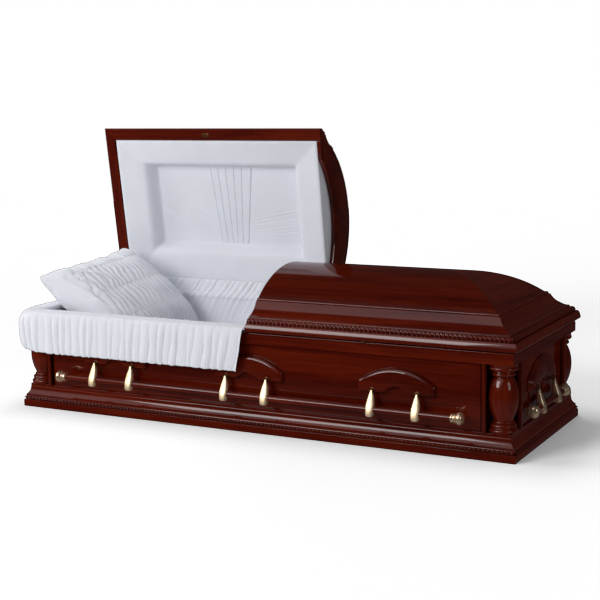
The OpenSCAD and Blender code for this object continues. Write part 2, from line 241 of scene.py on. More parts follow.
def wood(name, axis, tone=1.0, seed=0.0):
    m, nt, b = new_mat(name)
    L = nt.links.new
    tc = node(nt, "ShaderNodeTexCoord")

    def stretched(along, across):
        mp = node(nt, "ShaderNodeMapping")
        s = [across, across, across]
        s[axis] = along
        mp.inputs["Scale"].default_value = s
        mp.inputs["Location"].default_value = (seed, seed * 1.7, seed * 0.6)
        L(tc.outputs["Object"], mp.inputs["Vector"])
        return mp

    big = node(nt, "ShaderNodeTexNoise")
    big.inputs["Scale"].default_value = 2.2
    big.inputs["Detail"].default_value = 5
    big.inputs["Roughness"].default_value = 0.55
    big.inputs["Distortion"].default_value = 0.5
    L(stretched(0.55, 5.5).outputs[0], big.inputs["Vector"])
    streak = node(nt, "ShaderNodeTexNoise")
    streak.inputs["Scale"].default_value = 6.0
    streak.inputs["Detail"].default_value = 6
    streak.inputs["Roughness"].default_value = 0.6
    L(stretched(0.5, 14.0).outputs[0], streak.inputs["Vector"])
    pore = node(nt, "ShaderNodeTexNoise")
    pore.inputs["Scale"].default_value = 26.0
    pore.inputs["Detail"].default_value = 3
    pore.inputs["Roughness"].default_value = 0.7
    L(stretched(0.9, 30.0).outputs[0], pore.inputs["Vector"])
    mix1 = node(nt, "ShaderNodeMix", data_type="FLOAT")
    mix1.inputs[0].default_value = 0.42
    L(big.outputs[0], mix1.inputs[2])
    L(streak.outputs[0], mix1.inputs[3])
    mix2 = node(nt, "ShaderNodeMix", data_type="FLOAT")
    mix2.inputs[0].default_value = 0.16
    L(mix1.outputs[0], mix2.inputs[2])
    L(pore.outputs[0], mix2.inputs[3])
    k = tone * 0.66
    r = ramp(nt, [
        (0.30, (0.0420 * k, 0.0024 * k, 0.0008 * k)),
        (0.45, (0.1050 * k, 0.0066 * k, 0.0016 * k)),
        (0.58, (0.1750 * k, 0.0145 * k, 0.0030 * k)),
        (0.75, (0.2500 * k, 0.0280 * k, 0.0060 * k)),
    ])
    L(mix2.outputs[0], r.inputs[0])
    L(r.outputs[0], b.inputs["Base Color"])
    b.inputs["Roughness"].default_value = 0.5
    b.inputs["Specular IOR Level"].default_value = 0.0
    b.inputs["Coat Weight"].default_value = 0.8
    b.inputs["Coat Roughness"].default_value = 0.045
    b.inputs["Coat IOR"].default_value = 1.5
    bump = node(nt, "ShaderNodeBump")
    bump.inputs["Strength"].default_value = 0.05
    bump.inputs["Distance"].default_value = 0.001
    L(pore.outputs[0], bump.inputs["Height"])
    L(bump.outputs[0], b.inputs["Normal"])
    return m


def cloth_mat(name, color, weave=1500.0):
    m, nt, b = new_mat(name)
    L = nt.links.new
    tc = node(nt, "ShaderNodeTexCoord")
    n1 = node(nt, "ShaderNodeTexNoise")
    n1.inputs["Scale"].default_value = 9.0
    n1.inputs["Detail"].default_value = 4
    L(tc.outputs["Object"], n1.inputs["Vector"])
    r = ramp(nt, [(0.3, tuple(c * 0.965 for c in color)), (0.7, color)])
    L(n1.outputs[0], r.inputs[0])
    L(r.outputs[0], b.inputs["Base Color"])
    n2 = node(nt, "ShaderNodeTexNoise")
    n2.inputs["Scale"].default_value = weave
    n2.inputs["Detail"].default_value = 2
    L(tc.outputs["Object"], n2.inputs["Vector"])
    n3 = node(nt, "ShaderNodeTexNoise")
    n3.inputs["Scale"].default_value = 160.0
    n3.inputs["Detail"].default_value = 4
    L(tc.outputs["Object"], n3.inputs["Vector"])
    mx = node(nt, "ShaderNodeMix", data_type="FLOAT")
    mx.inputs[0].default_value = 0.5
    L(n2.outputs[0], mx.inputs[2])
    L(n3.outputs[0], mx.inputs[3])
    bump = node(nt, "ShaderNodeBump")
    bump.inputs["Strength"].default_value = 0.22
    bump.inputs["Distance"].default_value = 0.0006
    L(mx.outputs[0], bump.inputs["Height"])
    L(bump.outputs[0], b.inputs["Normal"])
    b.inputs["Roughness"].default_value = 0.86
    b.inputs["Specular IOR Level"].default_value = 0.2
    b.inputs["Sheen Weight"].default_value = 0.25
    b.inputs["Sheen Roughness"].default_value = 0.4
    return m


def brass_mat(name, color, rough=0.16, metal=1.0):
    m, nt, b = new_mat(name)
    L = nt.links.new
    tc = node(nt, "ShaderNodeTexCoord")
    n1 = node(nt, "ShaderNodeTexNoise")
    n1.inputs["Scale"].default_value = 60.0
    n1.inputs["Detail"].default_value = 5
    L(tc.outputs["Object"], n1.inputs["Vector"])
    r = ramp(nt, [(0.35, tuple(c * 0.88 for c in color)), (0.65, color)])
    L(n1.outputs[0], r.inputs[0])
    L(r.outputs[0], b.inputs["Base Color"])
    rr = node(nt, "ShaderNodeMapRange")
    rr.inputs["To Min"].default_value = rough * 0.8
    rr.inputs["To Max"].default_value = rough * 1.5
    L(n1.outputs[0], rr.inputs["Value"])
    L(rr.outputs[0], b.inputs["Roughness"])
    b.inputs["Metallic"].default_value = metal
    bump = node(nt, "ShaderNodeBump")
    bump.inputs["Strength"].default_value = 0.04
    bump.inputs["Distance"].default_value = 0.0005
    L(n1.outputs[0], bump.inputs["Height"])
    L(bump.outputs[0], b.inputs["Normal"])
    return m


WOOD_X = wood("mahogany_x", 0)
# painted shade: a darker copy of the mahogany for the domes' long vaults, so their up-facing tops read darker than the
# lights make them
DOME_SHADED_X = wood("dome_x_painted_shade", 0, tone=0.72, seed=2.1)
WOOD_Y = wood("mahogany_y", 1, seed=3.1)
WOOD_Z = wood("mahogany_z", 2, seed=5.3)
CARVED = wood("mahogany_carved", 0, tone=0.85, seed=7.7)
# painted shade: the carved ropes use slightly darker copies of the mahogany, standing in for the shade of the recess
# they sit in
ROPE_SHADED_X = wood("rope_x_painted_shade", 0, tone=0.95, seed=1.3)
ROPE_SHADED_Y = wood("rope_y_painted_shade", 1, tone=0.95, seed=4.3)
PLAIN = wood("plain_board", 0, tone=0.9, seed=2.2)
CLOTH = cloth_mat("crepe", (0.80, 0.815, 0.875))
BRASS = brass_mat("brass", (0.97, 0.74, 0.50), 0.2, 0.85)
PALEBRASS = brass_mat("brass_arm", (1.0, 0.80, 0.50), 0.36, 0.62)
DARKBRASS = brass_mat("dark_brass", (0.20, 0.085, 0.04), 0.3)


def place(o, body, slot, *nodes):
    if nodes:
        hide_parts(*nodes)
    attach(o, body)
    return o


# ------------------------------------------------------------------ mouldings
def run_mesh(name, profile, half_l, half_d, side, mat, cut=None, opened=False):
    """A mitred length with the given profile; cut=(low, high) ends it square in x."""
    p = np.array(profile, float)
    n = len(p)
    x0 = -(half_l - p[:, 0])
    x1 = half_l - p[:, 0]
    if cut:
        if cut[0] is not None:
            x0 = np.full(n, cut[0])
        if cut[1] is not None:
            x1 = np.full(n, cut[1])
    y = -half_d + p[:, 0]
    v = np.concatenate([np.stack([x0, y, p[:, 1]], 1), np.stack([x1, y, p[:, 1]], 1)])
    f = [(i, (i + 1) % n, n + (i + 1) % n, n + i) for i in range(n)]
    f += [tuple(range(n))[::-1], tuple(range(n, 2 * n))]
    v = turn_pts(v, SIDE[side])
    if opened:
        v = lid_open(v)
    return recalc(obj_from(name, v, f, mat, angle=28))


def rope_strip(name, half_l, half_d, t0, z0, half_w, height, tilt, side, mat, cut=None, opened=False, pitch=17.0):
    """A carved rope: a half-round strip with slanting lobes. tilt is the angle of its face, 0 = outward."""
    lo = -(half_l - t0) if not cut or cut[0] is None else cut[0]
    hi = (half_l - t0) if not cut or cut[1] is None else cut[1]
    ns = int((hi - lo) / 1.75)
    s = np.linspace(lo, hi, ns)
    nv = 9
    v = np.linspace(-1, 1, nv)
    S, V = np.meshgrid(s, v, indexing="ij")
    ph = S / pitch + 0.42 * V
    lobe = -0.45 + 1.45 * np.abs(np.cos(np.pi * ph)) ** 0.9
    H = height * np.sqrt(np.clip(1 - V * V, 0, 1)) ** 0.9 * lobe
    a = math.radians(tilt)
    # face direction: outward (-t) turned up by tilt; width direction is along the face
    nt_, nz_ = -math.cos(a), math.sin(a)
    wt_, wz_ = math.sin(a), math.cos(a)
    T = t0 + V * half_w * wt_ + H * nt_
    Z = z0 + V * half_w * wz_ + H * nz_
    P = np.stack([S.ravel(), (-half_d + T).ravel(), Z.ravel()], 1)
    P = turn_pts(P, SIDE[side])
    if opened:
        P = lid_open(P)
    return obj_from(name, P, grid_faces(ns, nv), mat, angle=180)


base_profile = (
    [(0.8, 0), (0, 0.8), (0, 25), (0.5, 26.4), (2.8, 27.6), (6.6, 28.2), (6.6, 40.4), (7.4, 41.6), (7.8, 43.4)]
    + arc(-15.8, 78, 37.8, -52, 0, 18)
    + [(22.4, 80), (23, 81), (23, BASE_H - 1.2), (24.2, BASE_H), (NOTCH + 4, BASE_H), (NOTCH + 4, BASE_H - 20), (44, BASE_H - 20), (30, 55), (30, 0)]
)
for side, hl, hd in (("front", HL, HW), ("back", HL, HW), ("foot", HW, HL), ("head", HW, HL)):
    mat = WOOD_X if side in ("front", "back") else WOOD_Y
    body = run_mesh("base_" + side, base_profile, hl, hd, side, mat)
    rope = rope_strip("r", hl, hd, 6.0, 34.1, 5.6, 7.0, 0, side, ROPE_SHADED_X if mat is WOOD_X else ROPE_SHADED_Y)
    place(join("base_moulding_" + side + "_carved", [body, rope]), "case", "mahogany", "base_moulding_" + side)

rail_profile = (
    [(RAIL_IN + 1, WALL_TOP), (RAIL_IN, WALL_TOP + 1), (RAIL_IN, RAIL_TOP - 9), (RAIL_IN + 0.6, RAIL_TOP - 8), (RAIL_IN + 2.6, RAIL_TOP - 7.4), (RAIL_IN + 2.6, RAIL_TOP - 6.6)]
    + arc(RAIL_IN + 3.6, RAIL_TOP - 3.2, 3.2, 235, 90, 6)
    + [(WALL_INNER - 1, RAIL_TOP), (WALL_INNER, RAIL_TOP - 1), (WALL_INNER, WALL_TOP)]
)


def box_pts(x0, x1, y0, y1, z0, z1):
    v = [(x, y, z) for z in (z0, z1) for y in (y0, y1) for x in (x0, x1)]
    f = [(0, 2, 3, 1), (4, 5, 7, 6), (0, 1, 5, 4), (2, 6, 7, 3), (0, 4, 6, 2), (1, 3, 7, 5)]
    return v, f


def box_obj(name, x0, x1, y0, y1, z0, z1, mat, side="front", bev=1.0, opened=False):
    v, f = box_pts(x0, x1, y0, y1, z0, z1)
    v = turn_pts(v, SIDE[side])
    if opened:
        v = lid_open(v)
    o = recalc(obj_from(name, v, f, mat))
    return bevelled(o, bev) if bev else o


for side, hl, hd in (("front", HL, HW), ("back", HL, HW), ("foot", HW, HL), ("head", HW, HL)):
    mat = WOOD_X if side in ("front", "back") else WOOD_Y
    parts = [run_mesh("rail_" + side, rail_profile, hl, hd, side, mat)]
    if side in ("foot", "head"):
        for s in (-1, 1):
            a, b = sorted((s * (hl - NOTCH - WALL_T), s * (hl - WALL_INNER)))
            parts.append(box_obj("ear", a, b, -hd + WALL_INNER - 0.5, -hd + NOTCH + WALL_T, WALL_TOP, WALL_TOP + 24, mat, side))
    place(join("top_rail_" + side + "_wood", parts), "case", "mahogany", "top_rail_" + side)

# --------------------------------------------------------------------- walls
for side, hl, hd in (("front", HL, HW), ("back", HL, HW), ("foot", HW, HL), ("head", HW, HL)):
    mat = WOOD_X if side in ("front", "back") else WOOD_Y
    xn = hl - NOTCH
    long_side = side in ("front", "back")
    parts = [box_obj("w", -xn, xn, -hd + WALL_IN, -hd + WALL_INNER, BASE_H, WALL_TOP, mat, side, 0.6)]
    for s in (-1, 1):
        a, b = (xn - WALL_T, xn) if s > 0 else (-xn, -xn + WALL_T)
        back = -hd + (NOTCH + WALL_T if long_side else NOTCH)
        parts.append(box_obj("r", a, b, -hd + WALL_IN, back, BASE_H, WALL_TOP, WOOD_Z, side, 0.6))
        a, b = (xn - 11, xn + 3) if s > 0 else (-xn - 3, -xn + 11)
        parts.append(box_obj("s", a, b, -hd + STRIP_IN, -hd + WALL_IN + 1, BASE_H, WALL_TOP, WOOD_Z, side, 2.2))
    place(join("wall_" + side + "_panel", parts), "case", "mahogany", "wall_" + side)

place(box_obj("bottom_board_planed", -HL + 30, HL - 30, -HW + 30, HW - 30, 0, 18, PLAIN, bev=1.0), "case", "plain_wood", "bottom_board")

# ------------------------------------------------------------------- columns
col_pts = (
    [(0.0, BASE_H), (46.5, BASE_H)]
    + arc(45.8, 102.4, 7.2, -80, 85, 12)
    + [(46.2, 110.6), (44.6, 112)]
    + arc(41.0, 119.6, 6.4, -66, 80, 12)
    + [(40.6, 127.0), (38.4, 128.4)]
    + arc(36.6, 131.8, 3.4, -70, 85, 8)
    + [(35.4, 135.8), (34.2, 137.0)]
    + [tuple(q) for q in spline([(34.0, 138.4), (37.2, 147), (42.6, 160), (47.6, 176), (51.2, 194), (52.7, 212), (52.5, 228), (50.4, 246), (46.2, 264), (41.0, 278), (36.0, 288)], 5)]
    + [(32.4, 289.6), (31.8, 290.6), (31.8, 293.0), (35.6, 294.4)]
    + arc(36.6, 301.0, 6.2, -78, 82, 10)
    + [(38.6, 307.8), (37.6, 309.4), (37.6, 312.4), (41.0, 314.2)]
    + arc(45.0, 322.0, 7.4, -72, 62, 12)
    + [(49.2, 330.4), (50.0, 332.0), (50.0, WALL_TOP), (0.0, WALL_TOP)]
)


def revolve(name, prof, mat, n=72, angle=34):
    p = np.array(prof, float)
    a = np.linspace(0, 2 * np.pi, n, endpoint=False)
    v = np.stack([np.outer(np.cos(a), p[:, 0]), np.outer(np.sin(a), p[:, 0]), np.tile(p[:, 1], (n, 1))], 2).reshape(-1, 3)
    m = len(p)
    f = []
    for i in range(n):
        j = (i + 1) % n
        for k in range(m - 1):
            f.append((i * m + k, j * m + k, j * m + k + 1, i * m + k + 1))
    o = obj_from(name, v, f, mat, angle=angle)
    import bmesh

    bm = bmesh.new()
    bm.from_mesh(o.data)
    bmesh.ops.remove_doubles(bm, verts=bm.verts, dist=1e-6)
    bmesh.ops.dissolve_degenerate(bm, dist=1e-7, edges=bm.edges)
    bmesh.ops.recalc_face_normals(bm, faces=bm.faces)
    bm.to_mesh(o.data)
    bm.free()
    o.data.shade_smooth()
    o.data.set_sharp_from_angle(angle=math.radians(angle))
    return o


def shift(o, m):
    o.data.transform(m)
    return o


for sy, ny in ((-1, "front"), (1, "back")):
    for sx, nx in ((-1, "head"), (1, "foot")):
        c = revolve("column_%s_%s_turned" % (ny, nx), col_pts, WOOD_Z)
        shift(c, Matrix.Translation((sx * (HL - 65) * MM, sy * (HW - 65) * MM, 0)))
        place(c, "case", "mahogany", "column_%s_%s" % (ny, nx))


# --------------------------------------------------------------- escutcheons
def esc_outline(half, foot_h, top_h, i, notch_w, notch_h):
    w = half - i
    h0 = foot_h - 0.3 * i
    h1 = top_h - i
    rise = h1 - h0
    r = (w * w + rise * rise) / (2 * rise)
    b = 0.5 * i
    rc = max(2.0, 8 - 0.3 * i)
    pts = []
    pts += arc(-w + rc, b + rc, rc, 270, 180, 6)
    a = math.degrees(math.asin(w / r))
    pts += [(-w, b + rc + (h0 - b - rc) * 0.5)]
    pts += arc(0, h1 - r, r, 90 + a, 90 - a, 56)
    pts += [(w, b + rc + (h0 - b - rc) * 0.5)]
    pts += arc(w - rc, b + rc, rc, 0, -90, 6)
    nw = notch_w / 2 + 8 + 0.3 * i
    for k in range(41):
        x = nw - 2 * nw * k / 40
        pts.append((x, b + (notch_h + 1) * (0.5 + 0.5 * math.cos(math.pi * x / nw)) ** 0.55))
    return np.array(pts)


def escutcheon(name, steps, half, foot_h, top_h, notch_w, notch_h, x, y_wall, side, mat):
    rings = []
    for i, d in steps:
        o = esc_outline(half, foot_h, top_h, i, notch_w, notch_h)
        rings.append(np.stack([x + o[:, 0], np.full(len(o), y_wall - d), 200 + o[:, 1]], 1))
    n = len(rings[0])
    v = turn_pts(np.concatenate(rings), SIDE[side])
    f = []
    for k in range(len(rings) - 1):
        for i in range(n):
            j = (i + 1) % n
            f.append((k * n + i, k * n + j, (k + 1) * n + j, (k + 1) * n + i))
    last = (len(rings) - 1) * n
    f.append(tuple(range(last, last + n)))
    f.append(tuple(range(n))[::-1])
    return recalc(obj_from(name, v, f, mat, angle=40))


def torus_arc(name, cx, cy, cz, R, r, a0, a1, side, mat, n=20, k=10):
    a = np.radians(np.linspace(a0, a1, n))
    b = np.linspace(0, 2 * np.pi, k, endpoint=False)
    A, B = np.meshgrid(a, b, indexing="ij")
    v = np.stack([cx + (R + r * np.cos(B)) * np.cos(A), cy + r * np.sin(B) * 1.25, cz + (R + r * np.cos(B)) * np.sin(A)], 2).reshape(-1, 3)
    f = []
    for i in range(n - 1):
        for j in range(k):
            f.append((i * k + j, (i + 1) * k + j, (i + 1) * k + (j + 1) % k, i * k + (j + 1) % k))
    f.append(tuple(range(k)))
    f.append(tuple(range((n - 1) * k, n * k))[::-1])
    return recalc(obj_from(name, turn_pts(v, SIDE[side]), f, mat, angle=60))


def ball(name, c, rx, ry, rz, side, mat, n=14):
    p = [(math.sin(math.pi * i / n), -math.cos(math.pi * i / n)) for i in range(n + 1)]
    o = revolve(name, p, mat, n=20, angle=180)
    v = np.array([q.co for q in o.data.vertices])
    v = v * np.array([rx, ry, rz]) + np.array(c)
    v = turn_pts(v, SIDE[side]) * MM
    o.data.vertices.foreach_set("co", v.ravel())
    return o


side_steps = [(0, 0), (0, 6.0), (0.5, 8.6), (1.7, 11.4), (3.6, 14.0), (6.2, 16.3), (9.2, 18.2), (12.6, 19.5), (15.0, 19.9), (16.5, 20.0)]
end_steps = [(0, 0), (0, 4.4), (0.8, 6.2), (2.8, 7.6), (6.5, 8.0), (9.5, 8.0), (10.2, 8.8), (11.0, 11.0), (13.4, 13.0), (17.0, 13.4), (19.5, 13.4), (20.2, 14.2), (21.0, 15.4), (22.8, 16.7), (26.0, 17.0)]


def ears(cx, y0, side, plate):
    """The socket an arm hangs in: a dark ring on the plate with an ear each side of the arm's eye."""
    parts = [torus_arc("loop", cx, plate - 1.2, PIVZ + 1, 9.2, 2.6, 0, 360, side, DARKBRASS, n=33)]
    for s in (-1, 1):
        a, b = sorted((cx + s * 5.2, cx + s * 8.4))
        parts.append(box_obj("ear", a, b, y0 - 5.2, plate + 0.5, PIVZ - 5, PIVZ + 5, DARKBRASS, side, 1.4))
    return [join("arm_socket", parts)]


for side, sgn in (("front", 1), ("back", -1)):
    for x, nm in ((-612, "head"), (0, "middle"), (612, "foot")):
        e = escutcheon("e", side_steps, 150, 39, 94, 82, 24, sgn * x, -HW + WALL_IN, side, CARVED)
        place(e, "case", "carved_wood", "escutcheon_%s_%s" % (side, nm))
        e.name = "escutcheon_%s_%s_carved" % (side, nm)
        lo = []
        for s in (-1, 1):
            lo += ears(sgn * x + s * 88, SIDE_Y, side, -HW + WALL_IN - 20)
        for q, l in enumerate(lo):
            l.name = "arm_socket_%s_%s_%d" % (side, nm, q)
            place(l, "case", "brass")
for side in ("foot", "head"):
    e = escutcheon("e", end_steps, 158, 44, 112, 116, 24, 0, -HL + WALL_IN, side, CARVED)
    e.name = "escutcheon_%s_end_carved" % side
    place(e, "case", "carved_wood", "escutcheon_%s_end" % side)
    for q, s in enumerate((-1, 1)):
        for l in ears(s * 92, END_Y, side, -HL + WALL_IN - 17):
            l.name = "arm_socket_%s_end_%d" % (side, q)
            place(l, "case", "brass")


# ------------------------------------------------------------------- handles
def smooth_step(t):
    t = min(1.0, max(0.0, t))
    return t * t * (3 - 2 * t)


def arm(name, cx, y0, side):
    """A brass arm: slim at its eye, swelling to a drop that grips the bar."""
    st = np.array([0, 0.5, 2.0, 4.6, 8, 14, 22, 32, 43, 54, 63, 71, 78, 85, 91, 95, 97.2, 98])
    wx = np.array([0.2, 2.2, 3.6, 4.2, 4.6, 6.6, 9.0, 11.4, 13.4, 14.6, 15.0, 14.9, 14.4, 13.6, 12.4, 10.8, 8.0, 0.2])
    wy = np.array([0.2, 2.2, 3.6, 4.2, 4.6, 5.6, 6.9, 8.6, 10.8, 13.2, 15.1, 16.4, 17.0, 17.0, 16.4, 14.8, 11.0, 0.2])
    s2 = np.concatenate([np.linspace(0, 4, 8), np.linspace(5, 90, 34), np.linspace(91, 98, 9)])
    wx2, wy2 = np.interp(s2, st, wx), np.interp(s2, st, wy)
    lean = math.atan2(BAR_OUT, PIVZ - BARZ)
    a = np.linspace(0, 2 * np.pi, 28, endpoint=False)
    v = []
    for s, p, q in zip(s2, wx2, wy2):
        d = s - 4.6
        # on the sides the drop sits mostly in front of the bar
        fwd = 5.5 * smooth_step((s - 25) / 45.0) if side in ("front", "back") else 0.0
        q = q - 0.7 * fwd if q > 10 else q
        for t in a:
            ct, sn = math.cos(t), math.sin(t)
            lx = p * math.copysign(abs(ct) ** 0.5, ct)
            ly = q * math.copysign(abs(sn) ** 0.45, sn)
            ly -= fwd
            yy = -d * math.sin(lean) + ly * math.cos(lean)
            zz = -d * math.cos(lean) - ly * math.sin(lean)
            v.append((cx + lx, y0 + yy, PIVZ + zz))
    n = len(a)
    f = []
    for k in range(len(s2) - 1):
        for i in range(n):
            f.append((k * n + i, k * n + (i + 1) % n, (k + 1) * n + (i + 1) % n, (k + 1) * n + i))
    f.append(tuple(range(n))[::-1])
    f.append(tuple(range((len(s2) - 1) * n, len(s2) * n)))
    return recalc(obj_from(name, turn_pts(v, SIDE[side]), f, PALEBRASS if side in ("front", "back") else BRASS, angle=70))


tip_prof = (
    [(0.0, 0.0), (14.4, 0.0), (15.8, 0.8), (16.8, 2.2), (17.0, 4.6), (16.6, 7.4), (15.6, 8.6), (15.0, 9.8), (15.2, 12), (15.8, 14), (16.8, 15.0)]
    + arc(15.9, 17.0, 2.4, -60, 70, 5)
    + [(16.4, 19.6), (16.8, 20.6)]
    + [tuple(q) for q in spline([(18.4, 22.2), (21.2, 26), (23.0, 30.4), (23.3, 34), (21.9, 38.6), (18.2, 42.8), (12.4, 45.6), (6.0, 46.8), (0.01, 47.0)], 4)]
)


def handle(side, half, arms, y0):
    bar = revolve("bar", [(0, -half), (11.2, -half), (12, -half + 0.8), (12, half - 0.8), (11.2, half), (0, half)], WOOD_X if side in ("front", "back") else WOOD_Y, n=40)
    shift(bar, Matrix.Translation((0, (y0 - BAR_OUT) * MM, BARZ * MM)) @ Matrix.Rotation(math.radians(90), 4, "Y"))
    shift(bar, Matrix.Rotation(math.radians(90 * SIDE[side]), 4, "Z"))
    bar.name = "bar_%s_rod" % side
    place(bar, "handle_" + side, "handle", "bar_" + side)
    for k, x in enumerate(arms):
        a = arm("arm_%s_%d" % (side, k), x, y0, side)
        place(a, "handle_" + side, "brass", "bar_" + side)
    for s in (-1, 1):
        t = revolve("tip", tip_prof, BRASS, n=40, angle=50)
        shift(t, Matrix.Translation((s * half * MM, (y0 - BAR_OUT) * MM, BARZ * MM)) @ Matrix.Rotation(math.radians(90 * s), 4, "Y"))
        shift(t, Matrix.Rotation(math.radians(90 * SIDE[side]), 4, "Z"))
        if side in ("front", "back"):
            nm = "foot" if (s > 0) == (side == "front") else "head"
        else:
            nm = "back" if (s > 0) == (side == "foot") else "front"
        t.name = "tip_%s_%s_cast" % (side, nm)
        place(t, "handle_" + side, "brass", "tip_%s_%s" % (side, nm))


side_arms = [p * 612 + s * 88 for p in (-1, 0, 1) for s in (-1, 1)]
handle("front", 834, side_arms, SIDE_Y)
handle("back", 834, side_arms, SIDE_Y)
handle("foot", 156, (-92, 92), END_Y)
handle("head", 156, (-92, 92), END_Y)

# ---------------------------------------------------------------------- lids
lid_profile = (
    [(3.0, LID_Z), (1.5, LID_Z + 0.8), (0.3, 390.6), (0, 392.2), (0.5, 396.6), (1.4, 401.4), (2.6, 406.0), (4.1, 410.4), (5.8, 414.2), (7.6, 417.0), (9.4, 418.2), (17.6, 418), (18.4, 418.6), (19.8, 426), (21.6, 433.6), (22.6, 434.4), (30.5, 435.2)]
    + arc(31.4, 438.4, 3.2, -88, 40, 6)
    + [(34.6, 441.4), (35.6, 441.8)]
    + [tuple(q) for q in spline([(38.6, 442.2), (46, 444.4), (55, 449), (64, 455.4), (73, 462.2), (80, 469.6), (86, 478), (90.6, 486.2)], 4)]
    + [(92.4, 489.6), (93.2, 491), (97.4, 491.2), (98.2, 492.0)]
    + arc(103.2, 495.6, 4.6, 190, 100, 6)
    + [(CT0, 500), (CT0, CFOOT), (CT0 + CT + 6, CFOOT), (118, 480), (75, 430), (50, 400), (50, LID_Z + 1), (49, LID_Z)]
)


def lid_part(kind, side, opened):
    s = "head" if opened else "foot"
    cutx = (None, SPLIT - 0.5) if opened else (SPLIT + 0.5, None)
    if side == "back":
        cutx = (-(SPLIT - 0.5), None) if opened else (None, -(SPLIT + 0.5))
    if side == "end":
        real = "head" if opened else "foot"
        mat = WOOD_Z if opened else WOOD_Y
        m = run_mesh("m", lid_profile, LY, LX, real, mat, None, opened)
        r = rope_strip("r", LY, LX, 19.6, 426, 7.8, 4.6, 13, real, ROPE_SHADED_Y, None, opened)
    else:
        m = run_mesh("m", lid_profile, LX, LY, side, WOOD_X, cutx, opened)
        r = rope_strip("r", LX, LY, 19.6, 426, 7.8, 4.6, 13, side, ROPE_SHADED_X, cutx, opened)
    o = join("%s_lid_%s_carved" % (s, side), [m, r])
    place(o, "%s_lid" % s, "mahogany", "%s_lid_moulding_%s" % (s, side))


for opened in (False, True):
    for side in ("front", "back", "end"):
        lid_part("m", side, opened)


def crown(name, x_cut, mats, opened):
    """The dome: a long vault and a hipped end vault, as a shell."""
    phm = math.asin((LY - CT0) / CR)

    def shell(R, inset):
        m = math.acos((CFOOT - CC) / R)
        phi = np.linspace(-m, m, 73)
        nv = 40
        V, F, M = [], [], []
        # long vault
        for ph in phi:
            y, z = R * math.sin(ph), CC + R * math.cos(ph)
            xe = VX + abs(y)
            for k in range(nv):
                V.append((x_cut + (xe - x_cut) * k / (nv - 1), y, z))
        F += grid_faces(len(phi), nv).tolist()
        M += [0] * len(F)
        off = len(V)
        # end vault, from the top down to the spring
        psi = np.linspace(0.0, m, 37)
        for ps in psi:
            w, z = R * math.sin(ps), CC + R * math.cos(ps)
            for k in range(41):
                V.append((VX + w, -w + 2 * w * k / 40, z))
        g = grid_faces(len(psi), 41, off, False).tolist()
        F += g
        M += [1] * len(g)
        return V, F, M

    V1, F1, M1 = shell(CR, 0)
    V2, F2, M2 = shell(CR - CT, 0)
    n = len(V1)
    F2 = [tuple(i + n for i in f[::-1]) for f in F2]
    V = np.array(V1 + V2)
    if opened:
        V[:, 0] = -V[:, 0]
        V = lid_open(V)
    o = obj_from(name, V, F1 + F2, mats, M1 + M2, angle=4)
    # close the rims between the two skins
    import bmesh

    bm = bmesh.new()
    bm.from_mesh(o.data)
    bmesh.ops.remove_doubles(bm, verts=bm.verts, dist=2e-5)
    bmesh.ops.dissolve_degenerate(bm, dist=1e-6, edges=bm.edges)
    edges = [e for e in bm.edges if e.is_boundary]
    bmesh.ops.bridge_loops(bm, edges=edges)
    bmesh.ops.recalc_face_normals(bm, faces=bm.faces)
    bm.to_mesh(o.data)
    bm.free()
    o.data.shade_smooth()
    o.data.set_sharp_from_angle(angle=math.radians(6))
    return o


# the long vaults of both domes take the darker mahogany copy: painted shade on their tops
place(crown("foot_lid_dome", SPLIT + 0.5, [DOME_SHADED_X, WOOD_Y], False), "foot_lid", "mahogany", "foot_lid_crown")
place(crown("head_lid_dome", 0.5 - SPLIT, [DOME_SHADED_X, WOOD_Z], True), "head_lid", "mahogany", "head_lid_crown")


def header(name, x0, x1, opened):
    """The board across a lid's cut end, with an arched lower edge."""
    r = CR - CT - 0.3
    m = math.asin(254.5 / r)
    top = [(r * math.sin(a), CC + r * math.cos(a)) for a in np.linspace(m, -m, 61)]
    side_l = [(-260.5, 480), (-303.5, 430), (-328.5, 400), (-328.5, LID_Z)]
    cx = math.sqrt(446.0**2 - (LID_Z - 21) ** 2)
    am = math.degrees(math.asin(cx / 446.0))
    low = [(446 * math.sin(math.radians(a)), 21 + 446 * math.cos(math.radians(a))) for a in np.linspace(-am, am, 61)]
    side_r = [(328.5, LID_Z), (328.5, 400), (303.5, 430), (260.5, 480)]
    ring = np.array(top + side_l + low + side_r)
    n = len(ring)
    v = np.concatenate([np.stack([np.full(n, x), ring[:, 0], ring[:, 1]], 1) for x in (x0, x1)])
    f = [(i, (i + 1) % n, n + (i + 1) % n, n + i) for i in range(n)] + [tuple(range(n)), tuple(range(n, 2 * n))[::-1]]
    if opened:
        v = lid_open(v)
    o = recalc(obj_from(name, v, f, CARVED if opened else CARVED))
    return bevelled(o, 2.2, 3, 50)


place(header("foot_lid_header_board", SPLIT + 0.5, SPLIT + 18.5, False), "foot_lid", "mahogany", "foot_lid_header")
place(header("head_lid_header_board", SPLIT - 18.5, SPLIT - 0.5, True), "head_lid", "mahogany", "head_lid_header")


# --------------------------------------------------------------------- cloth
def smooth01(t):
    t = np.clip(t, 0, 1)
    return t * t * (3 - 2 * t)


def puff(d):
    """The distance in from the rim, returned unchanged."""
    return d


